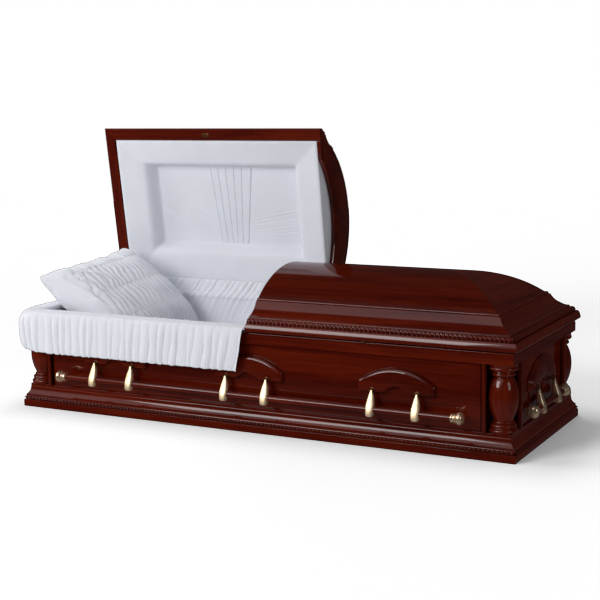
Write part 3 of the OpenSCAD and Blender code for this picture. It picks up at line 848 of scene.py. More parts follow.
def fold_noise(seed, nx, ny, lam_x, lam_y, X, Y):
    """Smooth value noise over a grid."""
    g = rnd(seed)
    t = g.uniform(-1, 1, (nx, ny))
    u = np.clip(X / lam_x, 0, nx - 1.001)
    v = np.clip(Y / lam_y, 0, ny - 1.001)
    i, j = u.astype(int), v.astype(int)
    a, b = smooth01(u - i), smooth01(v - j)
    return (t[i, j] * (1 - a) + t[np.minimum(i + 1, nx - 1), j] * a) * (1 - b) + (t[i, np.minimum(j + 1, ny - 1)] * (1 - a) + t[np.minimum(i + 1, nx - 1), np.minimum(j + 1, ny - 1)] * a) * b


def grading(a, b, coarse, fine, lo, hi):
    """Grid lines from a to b, finer between lo and hi."""
    out = [a]
    while out[-1] < b - 1e-6:
        step = fine if lo - coarse < out[-1] < hi else coarse
        out.append(min(b, out[-1] + step))
    if out[-1] - out[-2] < 0.4 * fine:
        out.pop(-2)
    return np.array(out)


def lining(name, x0, x1, px0, px1, opened, mat):
    """A padded lid lining: gathered border rolling up to a ridge, then down to a pleated panel.

    Drawn in closed-lid coordinates with x measured from the split outward (0 at the cut end)."""
    Y0, Y1, PY0, PY1 = -326.0, 326.0, -200.0, 153.0
    pan = 475.0
    fine = opened
    xs = grading(x0, x1, 5.2, 1.6 if fine else 5.2, 378.0, 596.0)
    ys = grading(Y0, Y1, 4.8, 2.2 if fine else 4.8, -40.0, 116.0)
    X, Y = np.meshgrid(xs, ys, indexing="ij")
    # how far into the border each point is, 0 at the rim and 1 at the panel edge
    ux0 = (X - x0) / (px0 - x0)
    ux1 = (x1 - X) / (x1 - px1)
    uy0 = (Y - Y0) / (PY0 - Y0)
    uy1 = (Y1 - Y) / (Y1 - PY1)
    U = np.stack([ux0, ux1, uy0, uy1])
    # a soft minimum keeps a crease at the mitres without a knife edge
    k = 60.0
    soft = -np.log(np.exp(-k * U).sum(0)) / k
    u = np.clip(soft, 0, None)
    which = np.argmin(U, 0)
    # border profile: rim 391, slow rise of the puff then a rounded shoulder and the drop to the panel
    pr = spline([(0.0, 391.0), (0.05, 388.8), (0.2, 393.5), (0.45, 401.5), (0.66, 408.0), (0.78, 412.5), (0.86, 420.0), (0.92, 436.0), (0.965, 456.0), (1.0, 471.0), (1.06, 475.0)], 8)
    Z = np.interp(u, pr[:, 0], pr[:, 1])
    Z = np.where(u >= 1.06, pan, Z)
    inside = smooth01((u - 0.96) / 0.06)
    border = 1 - inside
    # gathers run across the border, square to the nearest edge
    along = np.where((which == 0) | (which == 1), Y, X)
    sd = which.astype(float) * 37
    gath = np.zeros_like(X)
    for q in range(4):
        m = which == q
        a = along[m]
        g = rnd(40 + q + (10 if opened else 0))
        bend = wobble(u[m] * 60 + a * 0.05, 70 + q, [(120, 5)])
        a2 = a + bend + 12 * (u[m] - 0.5) * np.sin(a / 93.0 + q)
        h = 0
        for lam, amp in ((84, 2.2), (47, 1.5), (27, 0.8)):
            h = h + amp * (np.abs(np.sin(np.pi * a2 / lam + g.uniform(0, 6))) ** 0.7 - 0.6)
        gath[m] = h
    fade = smooth01(u / 0.16) * 0.9 + 0.1
    patch = 0.35 + 0.65 * smooth01(0.5 + fold_noise(5, 24, 16, 60, 60, X - x0, Y - Y0))
    Z = Z - border * fade * gath * patch * 0.14
    Z = Z + border * 1.0 * fold_noise(9, 30, 20, 45, 45, X - x0, Y - Y0) * fade
    # the panel: soft folds fanning from a gathered middle
    pl = np.zeros_like(X)
    wy = PY1 - PY0
    pc = 0.5 * (px0 + px1)
    if True:
        V = np.clip((Y - PY0) / wy, 0, 1)
        ends = smooth01(V / 0.03) * smooth01((1 - V) / 0.03)
        lines = [a + (b - a) * V for a, b in PLEATS]
        for k in range(len(lines)):
            d = X - lines[k]
            if k + 1 < len(lines):
                wdt = lines[k] - lines[k + 1]
                q = np.clip((X - lines[k + 1]) / wdt, 0, 1)
                inn = (X >= lines[k + 1]) & (X < lines[k])
                pl += np.where(inn, 3.2 * q * (1 - 0.15 * V), 0) * ends
            pl -= 7.0 * np.exp(-((d - 0.9) / 1.9) ** 2) * ends * (1 - 0.35 * V)
        for xa, ya, xb, yb, h in FANS:
            L = math.hypot(xb - xa, yb - ya)
            tx, ty = (xb - xa) / L, (yb - ya) / L
            sxx = (X - xa) * tx + (Y - ya) * ty
            dd = -(X - xa) * ty + (Y - ya) * tx
            win = smooth01(sxx / (0.12 * L)) * smooth01((L - sxx) / (0.12 * L))
            pl += h * (np.exp(-((dd + 3.4) / 3.6) ** 2) - 1.1 * np.exp(-((dd / 2.2) ** 2))) * win
    Z = Z - inside * pl
    Z = Z + inside * 1.0 * fold_noise(13, 30, 20, 70, 60, X - x0, Y - Y0)
    # never above the padding's own depth
    Z = np.clip(Z, 388.6, 486)
    nu, nv = X.shape
    V = np.stack([X.ravel(), Y.ravel(), Z.ravel()], 1)
    F = grid_faces(nu, nv).tolist()
    # edges turn up and meet a plain back tucked under the crown
    rim = [i * nv for i in range(nu)] + [(nu - 1) * nv + j for j in range(1, nv)] + [i * nv + nv - 1 for i in range(nu - 2, -1, -1)] + [j for j in range(nv - 2, 0, -1)]
    R = V[rim]
    rings = [V]
    n0 = len(V)
    nr = len(rim)
    cxm, cym = 0.5 * (x0 + x1), 0.0
    levels = []
    for zz, iny, inx0, inx1 in ((399, 0.0, 0.0, 0.0), (429, 27, 0.0, 30.0), (480, 71, 0.0, 78.0), (487.5, 78, 0.0, 85.0)):
        Q = R.copy()
        Q[:, 2] = zz
        Q[:, 1] = np.clip(Q[:, 1], -326 + iny, 326 - iny)
        Q[:, 0] = np.clip(Q[:, 0], x0 + inx0, x1 - inx1)
        levels.append(Q)
    allv = np.concatenate([V] + levels)
    prev = rim
    for li in range(len(levels)):
        cur = [n0 + li * nr + k for k in range(nr)]
        for k in range(nr):
            kk = (k + 1) % nr
            F.append((prev[k], prev[kk], cur[kk], cur[k]))
        prev = cur
    F.append(tuple(prev))
    if opened:
        allv[:, 0] = -allv[:, 0]
        allv = lid_open(allv)
    o = obj_from(name, allv, F, mat, angle=70)
    return recalc(o)


# stitched pleats across the panel, x from the split at the front side and at the hinge side
PLEATS = [(590, 559), (553, 532), (512, 506), (472, 481), (432, 457), (382, 430)]
# shallow tucks either side of them: from (x, y) to (x, y), depth
FANS = [
    (868, -23.5, 606, 17, 1.9), (868, -8, 606, 29, 1.7), (868, 12, 606, 44, 1.5), (868, 35, 600, 68, 1.4), (868, 55, 596, 87, 1.2), (868, 78, 590, 106, 1.2),
    (414, 35, 160, -18.6, 1.9), (416, 47, 160, 0, 1.7), (418, 64, 160, 22, 1.5), (422, 86, 160, 52, 1.3), (426, 110, 160, 82, 1.2),
]
hl_lin = lining("head_lid_lining_padded", 14.5, 1015.0, 156.0, 870.0, True, CLOTH)
place(hl_lin, "head_lid", "cloth", "head_lid_lining")
fl_lin = lining("foot_lid_lining_padded", 24.0, 1015.0, 166.0, 870.0, False, CLOTH)
place(fl_lin, "foot_lid", "cloth", "foot_lid_lining")


# ------------------------------------------------------- mattress, side lining
def mattress_mesh():
    xs = np.linspace(-995, 995, 150)
    ys = np.linspace(-306, 306, 56)
    X, Y = np.meshgrid(xs, ys, indexing="ij")
    d = np.minimum(np.minimum(995 - np.abs(X), 306 - np.abs(Y)) / 26.0, 1.0)
    Z = 222 + 18 * np.sqrt(np.clip(1 - (1 - d) ** 2, 0, 1))
    Z += 1.5 * fold_noise(21, 40, 14, 55, 50, X + 995, Y + 306) * d
    n = X.size
    top = np.stack([X.ravel(), Y.ravel(), Z.ravel()], 1)
    nu, nv = X.shape
    F = grid_faces(nu, nv).tolist()
    rim = [i * nv for i in range(nu)] + [(nu - 1) * nv + j for j in range(1, nv)] + [i * nv + nv - 1 for i in range(nu - 2, -1, -1)] + [j for j in range(nv - 2, 0, -1)]
    # the corners step in round the corner recesses
    cx, cy = 927 - 18.0, 238 - 18.0
    both = (np.abs(top[:, 0]) > cx) & (np.abs(top[:, 1]) > cy)
    px = np.abs(top[:, 0]) - cx
    py = np.abs(top[:, 1]) - cy
    use_x = both & (px <= py)
    use_y = both & ~use_x
    top[use_x, 0] = np.sign(top[use_x, 0]) * cx
    top[use_y, 1] = np.sign(top[use_y, 1]) * cy
    lo = top[rim].copy()
    lo[:, 2] = 94
    allv = np.concatenate([top, lo])
    m = len(rim)
    for k in range(m):
        kk = (k + 1) % m
        F.append((rim[k], rim[kk], n + kk, n + k))
    F.append(tuple(n + k for k in range(m)))
    o = recalc(obj_from("mattress_quilted", allv, F, CLOTH, angle=60))
    low = box_obj("mattress_core", -938, 938, -249, 249, 18, 93.5, CLOTH, bev=2)
    return join("mattress_quilted", [o, low])


mt = mattress_mesh()
place(mt, "case", "cloth", "mattress")


def inner_loop(i, step):
    """Corner points round the inside of the case at inset i."""
    ix, iy = HL - WALL_INNER - i, HW - WALL_INNER - i
    cx, cy = HL - NOTCH - WALL_T - i, HW - NOTCH - WALL_T - i
    c = [(ix, -cy), (ix, cy), (cx, cy), (cx, iy), (-cx, iy), (-cx, cy), (-ix, cy), (-ix, -cy), (-cx, -cy), (-cx, -iy), (cx, -iy), (cx, -cy)]
    return c


_ge = [-400.0]
_gg = rnd(17)
while _ge[-1] < 1500:
    _ge.append(_ge[-1] + _gg.uniform(17, 40))
_ge = np.array(_ge)
_ga = _gg.uniform(0.5, 1.2, len(_ge))


def back_gather(x, run):
    """Slanting gathers of the back lining: x in mm, run = the distance up the cloth from z 250."""
    q = x + 1100 - 0.46 * run + 5 * math.sin(run / 37.0)
    k = np.clip(np.searchsorted(_ge, q) - 1, 0, len(_ge) - 2)
    u = (q - _ge[k]) / (_ge[k + 1] - _ge[k])
    h = (np.clip(np.sin(np.pi * u), 0, 1) ** 0.6 * _ga[k] - 0.45) * 7.0
    return h + 1.0 * (np.abs(np.sin(np.pi * q / 9.3)) - 0.5)


def side_lining_mesh():
    outer, inner = inner_loop(1, 5), inner_loop(12, 5)
    O, I, N, S = [], [], [], []
    run = 0.0
    for k in range(len(outer)):
        a, b = np.array(outer[k]), np.array(outer[(k + 1) % len(outer)])
        p, q = np.array(inner[k]), np.array(inner[(k + 1) % len(inner)])
        L = np.linalg.norm(q - p)
        n = max(3, int(L / 5.5))
        d = (q - p) / L
        nrm = np.array([-d[1], d[0]])
        for j in range(n):
            t = j / n
            O.append(a + (b - a) * t)
            I.append(p + (q - p) * t)
            N.append(nrm)
            S.append(run + L * t)
        run += L
    O, I, N, S = map(np.array, (O, I, N, S))
    # soften the normals at the corners
    for _ in range(3):
        N = (N + np.roll(N, 1, 0) + np.roll(N, -1, 0)) / 3
    N /= np.maximum(np.linalg.norm(N, axis=1), 1e-6)[:, None]
    zs = np.concatenate([np.linspace(95, 240, 4), np.linspace(250, 368, 20), [374, 379.4, 382.4]])
    ring = []
    for z in zs:
        v = (z - 240) / 132.0
        sway = 16 * v
        ph = S + sway
        h = 0
        g = rnd(61)
        for lam, amp in ((58, 1.8), (34, 1.5), (21, 0.9)):
            lam = run / round(run / lam)
            h = h + amp * (np.abs(np.sin(np.pi * ph / lam + g.uniform(0, 6))) ** 0.8 - 0.6)
        env = 0.2 if z < 241 else 0.55 + 0.45 * math.sin(math.pi * min(1, max(0, v)))
        pinch = 1.0 * max(0, (z - 366) / 15.0) ** 1.3
        P = I - N * 0 + N * (env * (1.0 + h) - pinch)[:, None]
        back = (N[:, 1] < -0.9) & (P[:, 1] > 250)
        P[back, 1] = np.where(np.abs(P[back, 0]) < 915, 307.0 - back_gather(P[back, 0], z - 250.0) * (0.55 + 0.45 * min(1, max(0, v))) * 0.8, P[back, 1])
        ring.append(np.column_stack([P, np.full(len(P), z)]))
    Otop = np.column_stack([O, np.full(len(O), 382.6)])
    Obot = np.column_stack([O, np.full(len(O), 95.0)])
    rings = ring + [Otop, Obot]
    V = np.concatenate(rings)
    n, m = len(O), len(rings)
    F = []
    for r in range(m):
        rr = (r + 1) % m
        for k in range(n):
            kk = (k + 1) % n
            F.append((r * n + k, r * n + kk, rr * n + kk, rr * n + k))
    return recalc(obj_from("side_lining_gathered", V, F, CLOTH, angle=70))


sl = side_lining_mesh()
# the lining laps over the rail's corner blocks at the head end
lap_x = HL - NOTCH - WALL_T - 3
lap_y = HW - NOTCH - WALL_T - 3
sl = join("side_lining_gathered", [
    sl,
    box_obj("lap_front", -HL + 60, -lap_x, -HW + 60, -lap_y, 382.1, 384.3, CLOTH, bev=0.8),
    box_obj("lap_back", -HL + 60, -lap_x, lap_y, HW - 54, 382.1, 384.3, CLOTH, bev=0.8),
])
place(sl, "case", "cloth", "side_lining")


# -------------------------------------------------------------------- pillow
def pillow_mesh():
    na, nb = 196, 236
    w = 0.3

    def spread(n):
        q = np.linspace(-1, 1, n)
        return (1 - w) * q + w * np.sin(np.pi * q / 2)

    a, b = spread(na), spread(nb)
    Aa, Bb = np.meshgrid(a, b, indexing="ij")
    HA, HB, T = 240.0, 278.0, 82.0
    # sides draw in a little between the corners, most at the head side
    la = HA * Aa * (1 - 0.07 * (1 - Bb**2) * np.abs(Aa) ** 2)
    lb = HB * Bb * (1 - 0.05 * (1 - Aa**2) * np.abs(Bb) ** 2)
    full = (np.clip(1 - np.abs(Aa) ** 3.0, 0, 1) * np.clip(1 - np.abs(Bb) ** 7.0, 0, 1)) ** 0.46
    amm, bmm = HA * Aa, HB * Bb
    bands = [-0.66, -0.04, 0.56]
    # shirred rows and the gathers between them
    drift = 9 * np.sin((amm + 40) / 75.0) + 14 * fold_noise(31, 14, 14, 60, 60, amm + HA, bmm + HB)
    s = bmm + drift
    h = np.zeros_like(s)
    spans = [-1.25] + bands + [1.2]
    for k in range(len(spans) - 1):
        lo, hi = spans[k], spans[k + 1]
        t = np.clip((Aa - lo) / (hi - lo), 0, 1)
        env = np.clip(np.sin(np.pi * t), 0, 1) ** 0.4
        g = rnd(80 + k)
        ridge = np.zeros_like(s)
        warp = s + 0.15 * s * s / 276.0 + 5 * np.sin(s / 41.0 + k * 2.1) + 7 * (t - 0.5)
        for lam, amp, pw_ in ((30.0 - 4 * (k == 3), 15.0, 0.7), (15.2, 3.8, 0.8), (8.6, 1.2, 1.0)):
            ridge += amp * (np.abs(np.sin(np.pi * warp / lam + g.uniform(0, 6))) ** pw_ - 0.62)
        h += np.where((Aa >= lo) & (Aa < hi), env * ridge, 0)
    for k, q in enumerate(bands):
        d = (Aa - q) * HA
        row = np.exp(-((d / 9.0) ** 2))
        pucker = np.sin(2 * np.pi * (bmm + 2 * np.sin(bmm / 17)) / 7.6 + k) * np.cos(2 * np.pi * d / 11)
        h += row * (-1.2 + 2.2 * pucker)
    # the front end is plain: shirring dies away and a few loose folds take over
    plain = smooth01((Bb + 0.97 - 0.10 * np.clip(Aa, -1, 1)) / 0.2)
    back = 0.6 + 0.4 * smooth01((1.0 - Bb) / 0.1)
    headfade = smooth01((Aa + 1.03) / 0.1)
    h = h * plain * back * headfade * (0.85 + 0.3 * fold_noise(33, 12, 12, 60, 60, amm + HA, bmm + HB))
    loose = np.zeros_like(s)
    for x0, y0, x1, y1, amp, wd in (
        (-215, -262, -60, -205, 6.5, 13), (-222, -235, -120, -150, 6.0, 12), (-205, -272, 60, -258, 5.0, 15),
        (-120, -240, 40, -190, 5.5, 12), (-30, -262, 130, -215, 5.5, 14), (60, -270, 215, -238, 5.0, 14),
        (-190, -180, -90, -100, 3.0, 12),
    ):
        L = math.hypot(x1 - x0, y1 - y0)
        tx, ty = (x1 - x0) / L, (y1 - y0) / L
        u = (amm - x0) * tx + (bmm - y0) * ty
        d = (-(amm - x0) * ty + (bmm - y0) * tx + 6 * np.sin(u / 40)) / wd
        win = smooth01(u / (0.25 * L)) * smooth01((L - u) / (0.35 * L))
        loose += amp * (np.exp(-(d**2)) - 0.6 * np.exp(-((d - 1.35) ** 2))) * win
    h += 1.7 * loose
    soft = smooth01(full / 0.35)
    top = T * full + h * (0.25 + 0.75 * soft) * smooth01(full / 0.12)
    low = -T * full * (1.02 + 0.3 * smooth01(-Aa / 0.6)) + (3.0 * fold_noise(35, 12, 12, 60, 60, amm + HA, bmm + HB)) * soft
    # the head edge is gathered, so its outline scallops
    edge = smooth01((np.abs(Aa) - 0.86) / 0.14)
    la = la + edge * np.sign(Aa) * (4.0 * (np.abs(np.sin(np.pi * s / 58)) ** 0.8 - 0.5) + 2.0 * np.sin(2 * np.pi * s / 23)) * smooth01((1 - np.abs(Bb)) / 0.1)
    # ears at the corners
    ear = smooth01((np.abs(Aa) - 0.72) / 0.28) * smooth01((np.abs(Bb) - 0.78) / 0.22)
    la = la + ear * np.sign(Aa) * 12
    lb = lb + ear * np.sign(Bb) * 5
    hd = smooth01((-Aa - 0.5) / 0.5)
    sag = -8 * ear + hd * (12 * smooth01((Bb - 0.62) / 0.3) - 5 * np.exp(-(((Bb - 0.42) / 0.16) ** 2)) + 4 * np.sin(bmm / 21.0) * smooth01((0.95 - np.abs(Bb)) / 0.2))

    def world(lx, ly, lz):
        th = math.radians(37.5)
        # the cushion bows a little over its length
        bow = -10 * (lx / HA) ** 2 + 5
        lz = lz + bow
        x = -802 + lx * math.cos(th) + lz * math.sin(th)
        z = -lx * math.sin(th) + lz * math.cos(th)
        tw = math.radians(3.8)
        y = -10 + ly * math.cos(tw) - z * math.sin(tw)
        z = 410 + z * math.cos(tw) + ly * math.sin(tw)
        z = np.maximum(z, 243.0)
        return np.stack([x.ravel(), y.ravel(), z.ravel()], 1)

    vt = world(la, lb, top + sag)
    vl = world(la, lb, low + sag)
    n = na * nb
    ft = grid_faces(na, nb)
    rim = np.zeros((na, nb), bool)
    rim[0], rim[-1], rim[:, 0], rim[:, -1] = True, True, True, True
    idx = np.arange(n).reshape(na, nb)
    low_idx = np.where(rim, idx, idx + n)
    fl = low_idx.ravel()[grid_faces(na, nb, flip=True)]
    V = np.concatenate([vt, vl])
    used = np.unique(np.concatenate([ft.ravel(), fl.ravel()]))
    remap = -np.ones(2 * n, int)
    remap[used] = np.arange(len(used))
    F = remap[np.concatenate([ft, fl])]
    return recalc(obj_from("pillow_shirred", V[used], F, CLOTH, angle=75))


pw = pillow_mesh()
place(pw, "case", "cloth", "pillow")
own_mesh(pw)

# ----------------------------------------------------------------- overthrow
HEM = 235.0


def overthrow_mesh():
    path = spline([(68.5, 384.5), (70.0, 392), (65.5, 399.5), (56, 402.6), (38, 403.6), (18, 403.6), (2, 403.0), (-7, 400.6), (-12.6, 394.5), (-15.2, 384), (-16.2, 366), (-16.4, 340), (-16.2, 312), (-15.8, 286), (-15.2, 262), (-14.6, 246), (-13.6, HEM + 3.0), (-11.8, HEM + 0.8)], 3)
    seg = np.r_[0, np.cumsum(np.linalg.norm(np.diff(path, axis=0), axis=1))]
    total = seg[-1]
    crest = np.interp(8.0, path[::-1, 0][path[::-1, 0] > -12], seg[::-1][path[::-1, 0] > -12])
    rows = np.unique(np.concatenate([np.linspace(0, 60, 13), np.linspace(60, 120, 22), np.linspace(120, total - 14, 22), np.linspace(total - 14, total, 6)]))
    T = np.interp(rows, seg, path[:, 0])
    Z = np.interp(rows, seg, path[:, 1])
    dT = np.gradient(T, rows)
    dZ = np.gradient(Z, rows)
    nl = np.hypot(dT, dZ)
    NT, NZ = -(-dZ / nl) * -1, -(dT / nl)
    # outward normal of the profile: up at the crest, away from the case on the drop
    NT, NZ = dZ / nl, -dT / nl
    mid = np.argmax(Z)
    if NZ[mid] < 0:
        NT, NZ = -NT, -NZ
    drop = smooth01((rows - 92) / 60.0)
    hemk = smooth01((rows - (total - 16)) / 16.0)
    crestk = np.exp(-(((rows - 88) / 20.0) ** 2))
    step = 2.15
    cx, cy = -HL + 26, -HW + 26
    n1 = int((1.0 - cx) / step)
    n2 = 34
    n3 = int((310 - cy) / step)
    ncol = n1 + n2 + n3
    cols = np.arange(ncol + 1)
    s_front = (cx - 1.0) * -1
    run = np.concatenate([np.linspace(0, s_front, n1, endpoint=False), s_front + np.linspace(0, 68, n2, endpoint=False), s_front + 68 + np.linspace(0, 310 - cy, n3 + 1)])
    V = np.zeros((len(run), len(rows), 3))
    g = rnd(91)
    # fold positions: an uneven train of pleats along the run
    edges = [-20.0]
    while edges[-1] < run[-1] + 40:
        edges.append(edges[-1] + g.uniform(21, 46))
    edges = np.array(edges)
    amp = g.uniform(0.45, 1.25, len(edges))
    lean = g.uniform(-5, 5, len(edges))
    fine_ph = wobble(run, 93, [(60, 1.1)])
    for r in range(len(rows)):
        v = (rows[r] - 92) / (total - 92)
        pos = edges + lean * np.clip(v, 0, 1) + (3 * np.sin(v * 5 + np.arange(len(edges)) * 1.7) if v > 0 else 0)
        k = np.clip(np.searchsorted(pos, run) - 1, 0, len(edges) - 2)
        u = (run - pos[k]) / (pos[k + 1] - pos[k])
        fold = (np.clip(np.sin(np.pi * u), 0, 1) ** 0.62) * amp[k] - 0.35
        sub = 0.5 * (np.abs(np.sin(np.pi * run / 11.7 + 0.6 * v + np.sin(run / 80))) ** 0.8 - 0.5)
        fine = np.abs(np.sin(np.pi * (run + fine_ph) / 8.8)) ** 0.7 - 0.5
        h = drop[r] * (6.6 + 1.0 * v) * fold * (1 - 0.4 * hemk[r]) + drop[r] * 1.9 * sub
        h += crestk[r] * 2.3 * fine + (1 - drop[r]) * (1.8 * fold + 1.2 * sub)
        h += hemk[r] * 1.8 * fine
        h = h * (0.25 + 0.75 * smooth01(rows[r] / 12.0))
        t = T[r] + NT[r] * h
        z = Z[r] + NZ[r] * h
        wc = np.exp(-(((run - s_front - 34) / 62.0) ** 2))
        vv = float(np.clip(v, 0, 1))
        near = float(np.exp(-(((rows[r] - 92) / 26.0) ** 2)))
        t = t - wc * (1.5 * math.sin(math.pi * vv) - 12.0 * near - 12.0 * vv**6)
        z = z + wc * (-9.0 * near + 15.0 * vv**6)
        if r == len(rows) - 1 or hemk[r] > 0.5:
            z = z + 1.0 * hemk[r] * (np.abs(np.sin(np.pi * (run + fine_ph) / 17.6)) - 0.3)
        # plan position
        hem_x = np.interp(Z[r], [HEM, 318, 400], [-31.0, -12.0, 1.0]) if rows[r] > 95 else 1.0
        x_end = hem_x
        P = np.zeros((len(run), 2))
        f = run[:n1] / s_front
        x0 = x_end + (cx - x_end) * f
        P[:n1, 0] = x0
        P[:n1, 1] = -HW + t[:n1]
        ang = np.linspace(0, np.pi / 2, n2, endpoint=False)
        tt = t[n1 : n1 + n2]
        rad = np.maximum(26 - tt, 0)
        q = np.maximum(tt - 26, 0)
        P[n1 : n1 + n2, 0] = cx + q - rad * np.sin(ang) + 5.0 * drop[r] * np.sin(ang)
        P[n1 : n1 + n2, 1] = cy + q - rad * np.cos(ang)
        # beyond 26 mm inside, the corner is a mitre
        fr = run[n1 + n2 :] - run[n1 + n2]
        P[n1 + n2 :, 0] = -HL + t[n1 + n2 :] + 8.0 * drop[r] * smooth01((run[n1 + n2 :] - run[n1 + n2]) / 60.0) + 5.0 * drop[r]
        P[n1 + n2 :, 1] = cy + fr
        over = max(T[r] - 26, 0)
        if over > 0:
            m = P[:n1, 0] < cx + over
            P[:n1, 0] = np.where(m, cx + over, P[:n1, 0])
            yy = P[n1 + n2 :, 1]
            P[n1 + n2 :, 1] = np.where(yy < cy + over, cy + over, yy)
        V[:, r, 0] = P[:, 0]
        V[:, r, 1] = P[:, 1]
        V[:, r, 2] = np.maximum(z, 383.6) if rows[r] < 95 else z
    nu, nv = V.shape[:2]
    o = obj_from("overthrow_gathered", V.reshape(-1, 3), grid_faces(nu, nv), CLOTH, angle=80)
    import bmesh

    bm = bmesh.new()
    bm.from_mesh(o.data)
    bmesh.ops.remove_doubles(bm, verts=bm.verts, dist=3e-5)
    bmesh.ops.dissolve_degenerate(bm, dist=1e-6, edges=bm.edges)
    area = sum(f.calc_area() for f in bm.faces)
    bm.to_mesh(o.data)
    bm.free()
    o.data.shade_smooth()
    return o, area, total * MM, run[-1] * MM


ot, ot_area, ot_w, ot_run = overthrow_mesh()
place(ot, "case", "cloth", "overthrow")
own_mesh(ot)


# --------------------------------------------------------------- hinge apron
def apron_mesh():
    path = spline([(306.8, 383.5), (307.5, 390), (312, 398), (322, 408), (331, 422), (338.5, 436), (343.5, 447), (347.0, 452.6), (350.2, 454.4), (352.2, 452.4), (352.8, 447)], 3)
    seg = np.r_[0, np.cumsum(np.linalg.norm(np.diff(path, axis=0), axis=1))]
    rows = np.linspace(0, seg[-1], 34)
    Y = np.interp(rows, seg, path[:, 0])
    Z = np.interp(rows, seg, path[:, 1])
    dY, dZ = np.gradient(Y, rows), np.gradient(Z, rows)
    nl = np.hypot(dY, dZ)
    NY, NZ = -dZ / nl, dY / nl
    run = np.arange(-985.0, -6.0, 3.0)
    V = np.zeros((len(run), len(rows), 3))
    for r in range(len(rows)):
        v = rows[r] / seg[-1]
        h = back_gather(run, 133.5 + rows[r]) * (0.8 + 0.2 * math.sin(math.pi * v)) * (1 - 0.6 * smooth01((v - 0.86) / 0.14))
        V[:, r, 0] = run
        V[:, r, 1] = Y[r] + NY[r] * h
        V[:, r, 2] = np.maximum(Z[r] + NZ[r] * h * smooth01(rows[r] / 12.0), 383.4)
    nu, nv = V.shape[:2]
    o = obj_from("hinge_apron_gathered", V.reshape(-1, 3), grid_faces(nu, nv), CLOTH, angle=80)
    area = sum(p.area for p in o.data.polygons)
    return o, area, seg[-1] * MM


ap, ap_area, ap_w = apron_mesh()
place(ap, "case", "cloth", "hinge_apron")
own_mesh(ap)

# ------------------------------------------------------------- small fittings
catch = box_obj("rail_catch_plate", 481.2, 498.8, -HW + RAIL_IN - 1.4, -HW + RAIL_IN + 11.8, RAIL_TOP - 4.8, RAIL_TOP + 1.4, DARKBRASS, bev=0.8)
place(catch, "case", "brass", "rail_catch")
strike = box_obj("head_lid_striker_plate", -563, -527, -357, -341, 386.6, 388.0, DARKBRASS, bev=0.4, opened=True)
place(strike, "head_lid", "brass", "head_lid_striker")
for n in ("head_lid_hinge", "foot_lid_hinge"):
    o = frame["nodes"][n]
    o.data.materials.clear()
    o.data.materials.append(DARKBRASS)


# -------------------------------------------------------------------- lights
world = bpy.data.worlds.new("studio")
scene.world = world
world.use_nodes = True
nt = world.node_tree
nt.nodes.clear()
out = nt.nodes.new("ShaderNodeOutputWorld")
lp = nt.nodes.new("ShaderNodeLightPath")
bg_cam = nt.nodes.new("ShaderNodeBackground")
bg_cam.inputs[0].default_value = (1, 1, 1, 1)
bg_cam.inputs[1].default_value = 1.0
bg_dif = nt.nodes.new("ShaderNodeBackground")
bg_dif.inputs[0].default_value = (0.94, 0.97, 1.0, 1)
bg_dif.inputs[1].default_value = 0.24
bg_glo = nt.nodes.new("ShaderNodeBackground")
bg_glo.inputs[0].default_value = (1.0, 0.96, 0.98, 1)
bg_glo.inputs[1].default_value = 1.0
m1 = nt.nodes.new("ShaderNodeMixShader")
m2 = nt.nodes.new("ShaderNodeMixShader")
tcw = nt.nodes.new("ShaderNodeTexCoord")
sep = nt.nodes.new("ShaderNodeSeparateXYZ")
nt.links.new(tcw.outputs["Generated"], sep.inputs[0])
dotp = nt.nodes.new("ShaderNodeVectorMath")
dotp.operation = "DOT_PRODUCT"
dotp.inputs[1].default_value = (-0.401, -0.601, 0.691)
nt.links.new(tcw.outputs["Generated"], dotp.inputs[0])
half = nt.nodes.new("ShaderNodeMapRange")
half.inputs["From Min"].default_value = -1.0
nt.links.new(dotp.outputs["Value"], half.inputs["Value"])
patch = ramp(nt, [(0.0, (0.03, 0.028, 0.028)), (0.885, (0.03, 0.028, 0.028)), (0.92, (0.22, 0.19, 0.19)), (0.952, (1.35, 1.08, 1.08)), (1.0, (1.4, 1.12, 1.12))])
nt.links.new(half.outputs[0], patch.inputs[0])
zhalf = nt.nodes.new("ShaderNodeMapRange")
zhalf.inputs["From Min"].default_value = -1.0
nt.links.new(sep.outputs["Z"], zhalf.inputs["Value"])
low_glow = ramp(nt, [(0.0, (0.13, 0.115, 0.115)), (0.30, (0.11, 0.10, 0.10)), (0.40, (0.0, 0.0, 0.0)), (1.0, (0.0, 0.0, 0.0))])
nt.links.new(zhalf.outputs[0], low_glow.inputs[0])
gr = nt.nodes.new("ShaderNodeVectorMath")
gr.operation = "ADD"
nt.links.new(patch.outputs[0], gr.inputs[0])
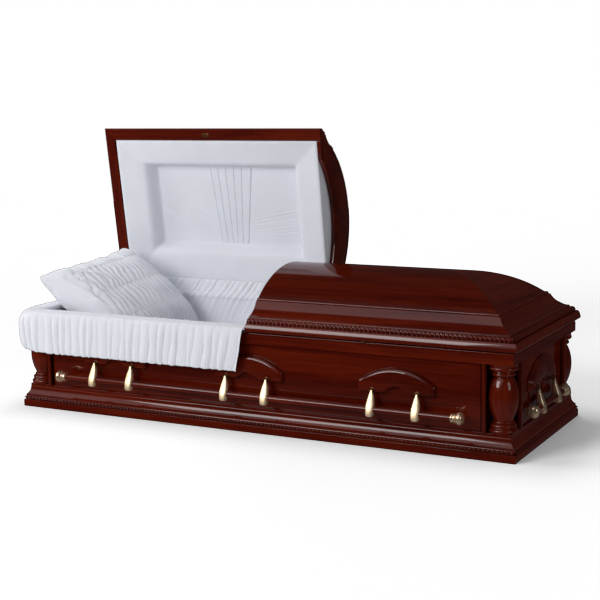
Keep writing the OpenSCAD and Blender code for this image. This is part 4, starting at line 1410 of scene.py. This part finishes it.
nt.links.new(low_glow.outputs[0], gr.inputs[1])
nt.links.new(gr.outputs[0], bg_glo.inputs[0])
nt.links.new(lp.outputs["Is Glossy Ray"], m1.inputs[0])
nt.links.new(bg_dif.outputs[0], m1.inputs[1])
nt.links.new(bg_glo.outputs[0], m1.inputs[2])
nt.links.new(lp.outputs["Is Camera Ray"], m2.inputs[0])
nt.links.new(m1.outputs[0], m2.inputs[1])
nt.links.new(bg_cam.outputs[0], m2.inputs[2])
nt.links.new(m2.outputs[0], out.inputs[0])


def softbox(name, loc, target, sx, sy, power, color=(1, 1, 1)):
    l = bpy.data.lights.new(name, "AREA")
    l.shape = "RECTANGLE"
    l.size, l.size_y = sx, sy
    l.energy = power
    l.color = color
    o = bpy.data.objects.new(name, l)
    scene.collection.objects.link(o)
    d = Vector(target) - Vector(loc)
    o.location = loc
    o.rotation_euler = d.to_track_quat("-Z", "Y").to_euler()
    return o


softbox("front_box", (-2.0, -4.3, 2.4), (-0.2, 0, 0.4), 2.6, 1.9, 108, (1, 0.99, 0.98))
softbox("left_box", (-3.8, -1.2, 1.8), (-0.6, 0, 0.4), 1.2, 1.2, 26, (1, 0.99, 0.98))
top = softbox("top_box", (-0.8, 0.2, 3.6), (0, 0, 0.4), 2.6, 1.4, 34, (1, 0.99, 0.98))
top.visible_glossy = False
softbox("right_box", (4.2, -1.6, 1.5), (0.6, 0, 0.35), 1.2, 1.4, 14, (1, 0.98, 0.98))

bpy.ops.mesh.primitive_plane_add(size=16, location=(0, 0, -0.0002))
floor = bpy.context.object
floor.name = "floor"
fm, fnt, fb = new_mat("floor_white")
fb.inputs["Base Color"].default_value = (0.9, 0.9, 0.9, 1)
fb.inputs["Roughness"].default_value = 0.6
fb.inputs["Specular IOR Level"].default_value = 0.1
floor.data.materials.append(fm)
floor.is_shadow_catcher = True
floor.visible_glossy = False

scene.view_settings.view_transform = "Standard"
scene.view_settings.look = "None"
scene.view_settings.exposure = 0.0
scene.view_settings.gamma = 1.0
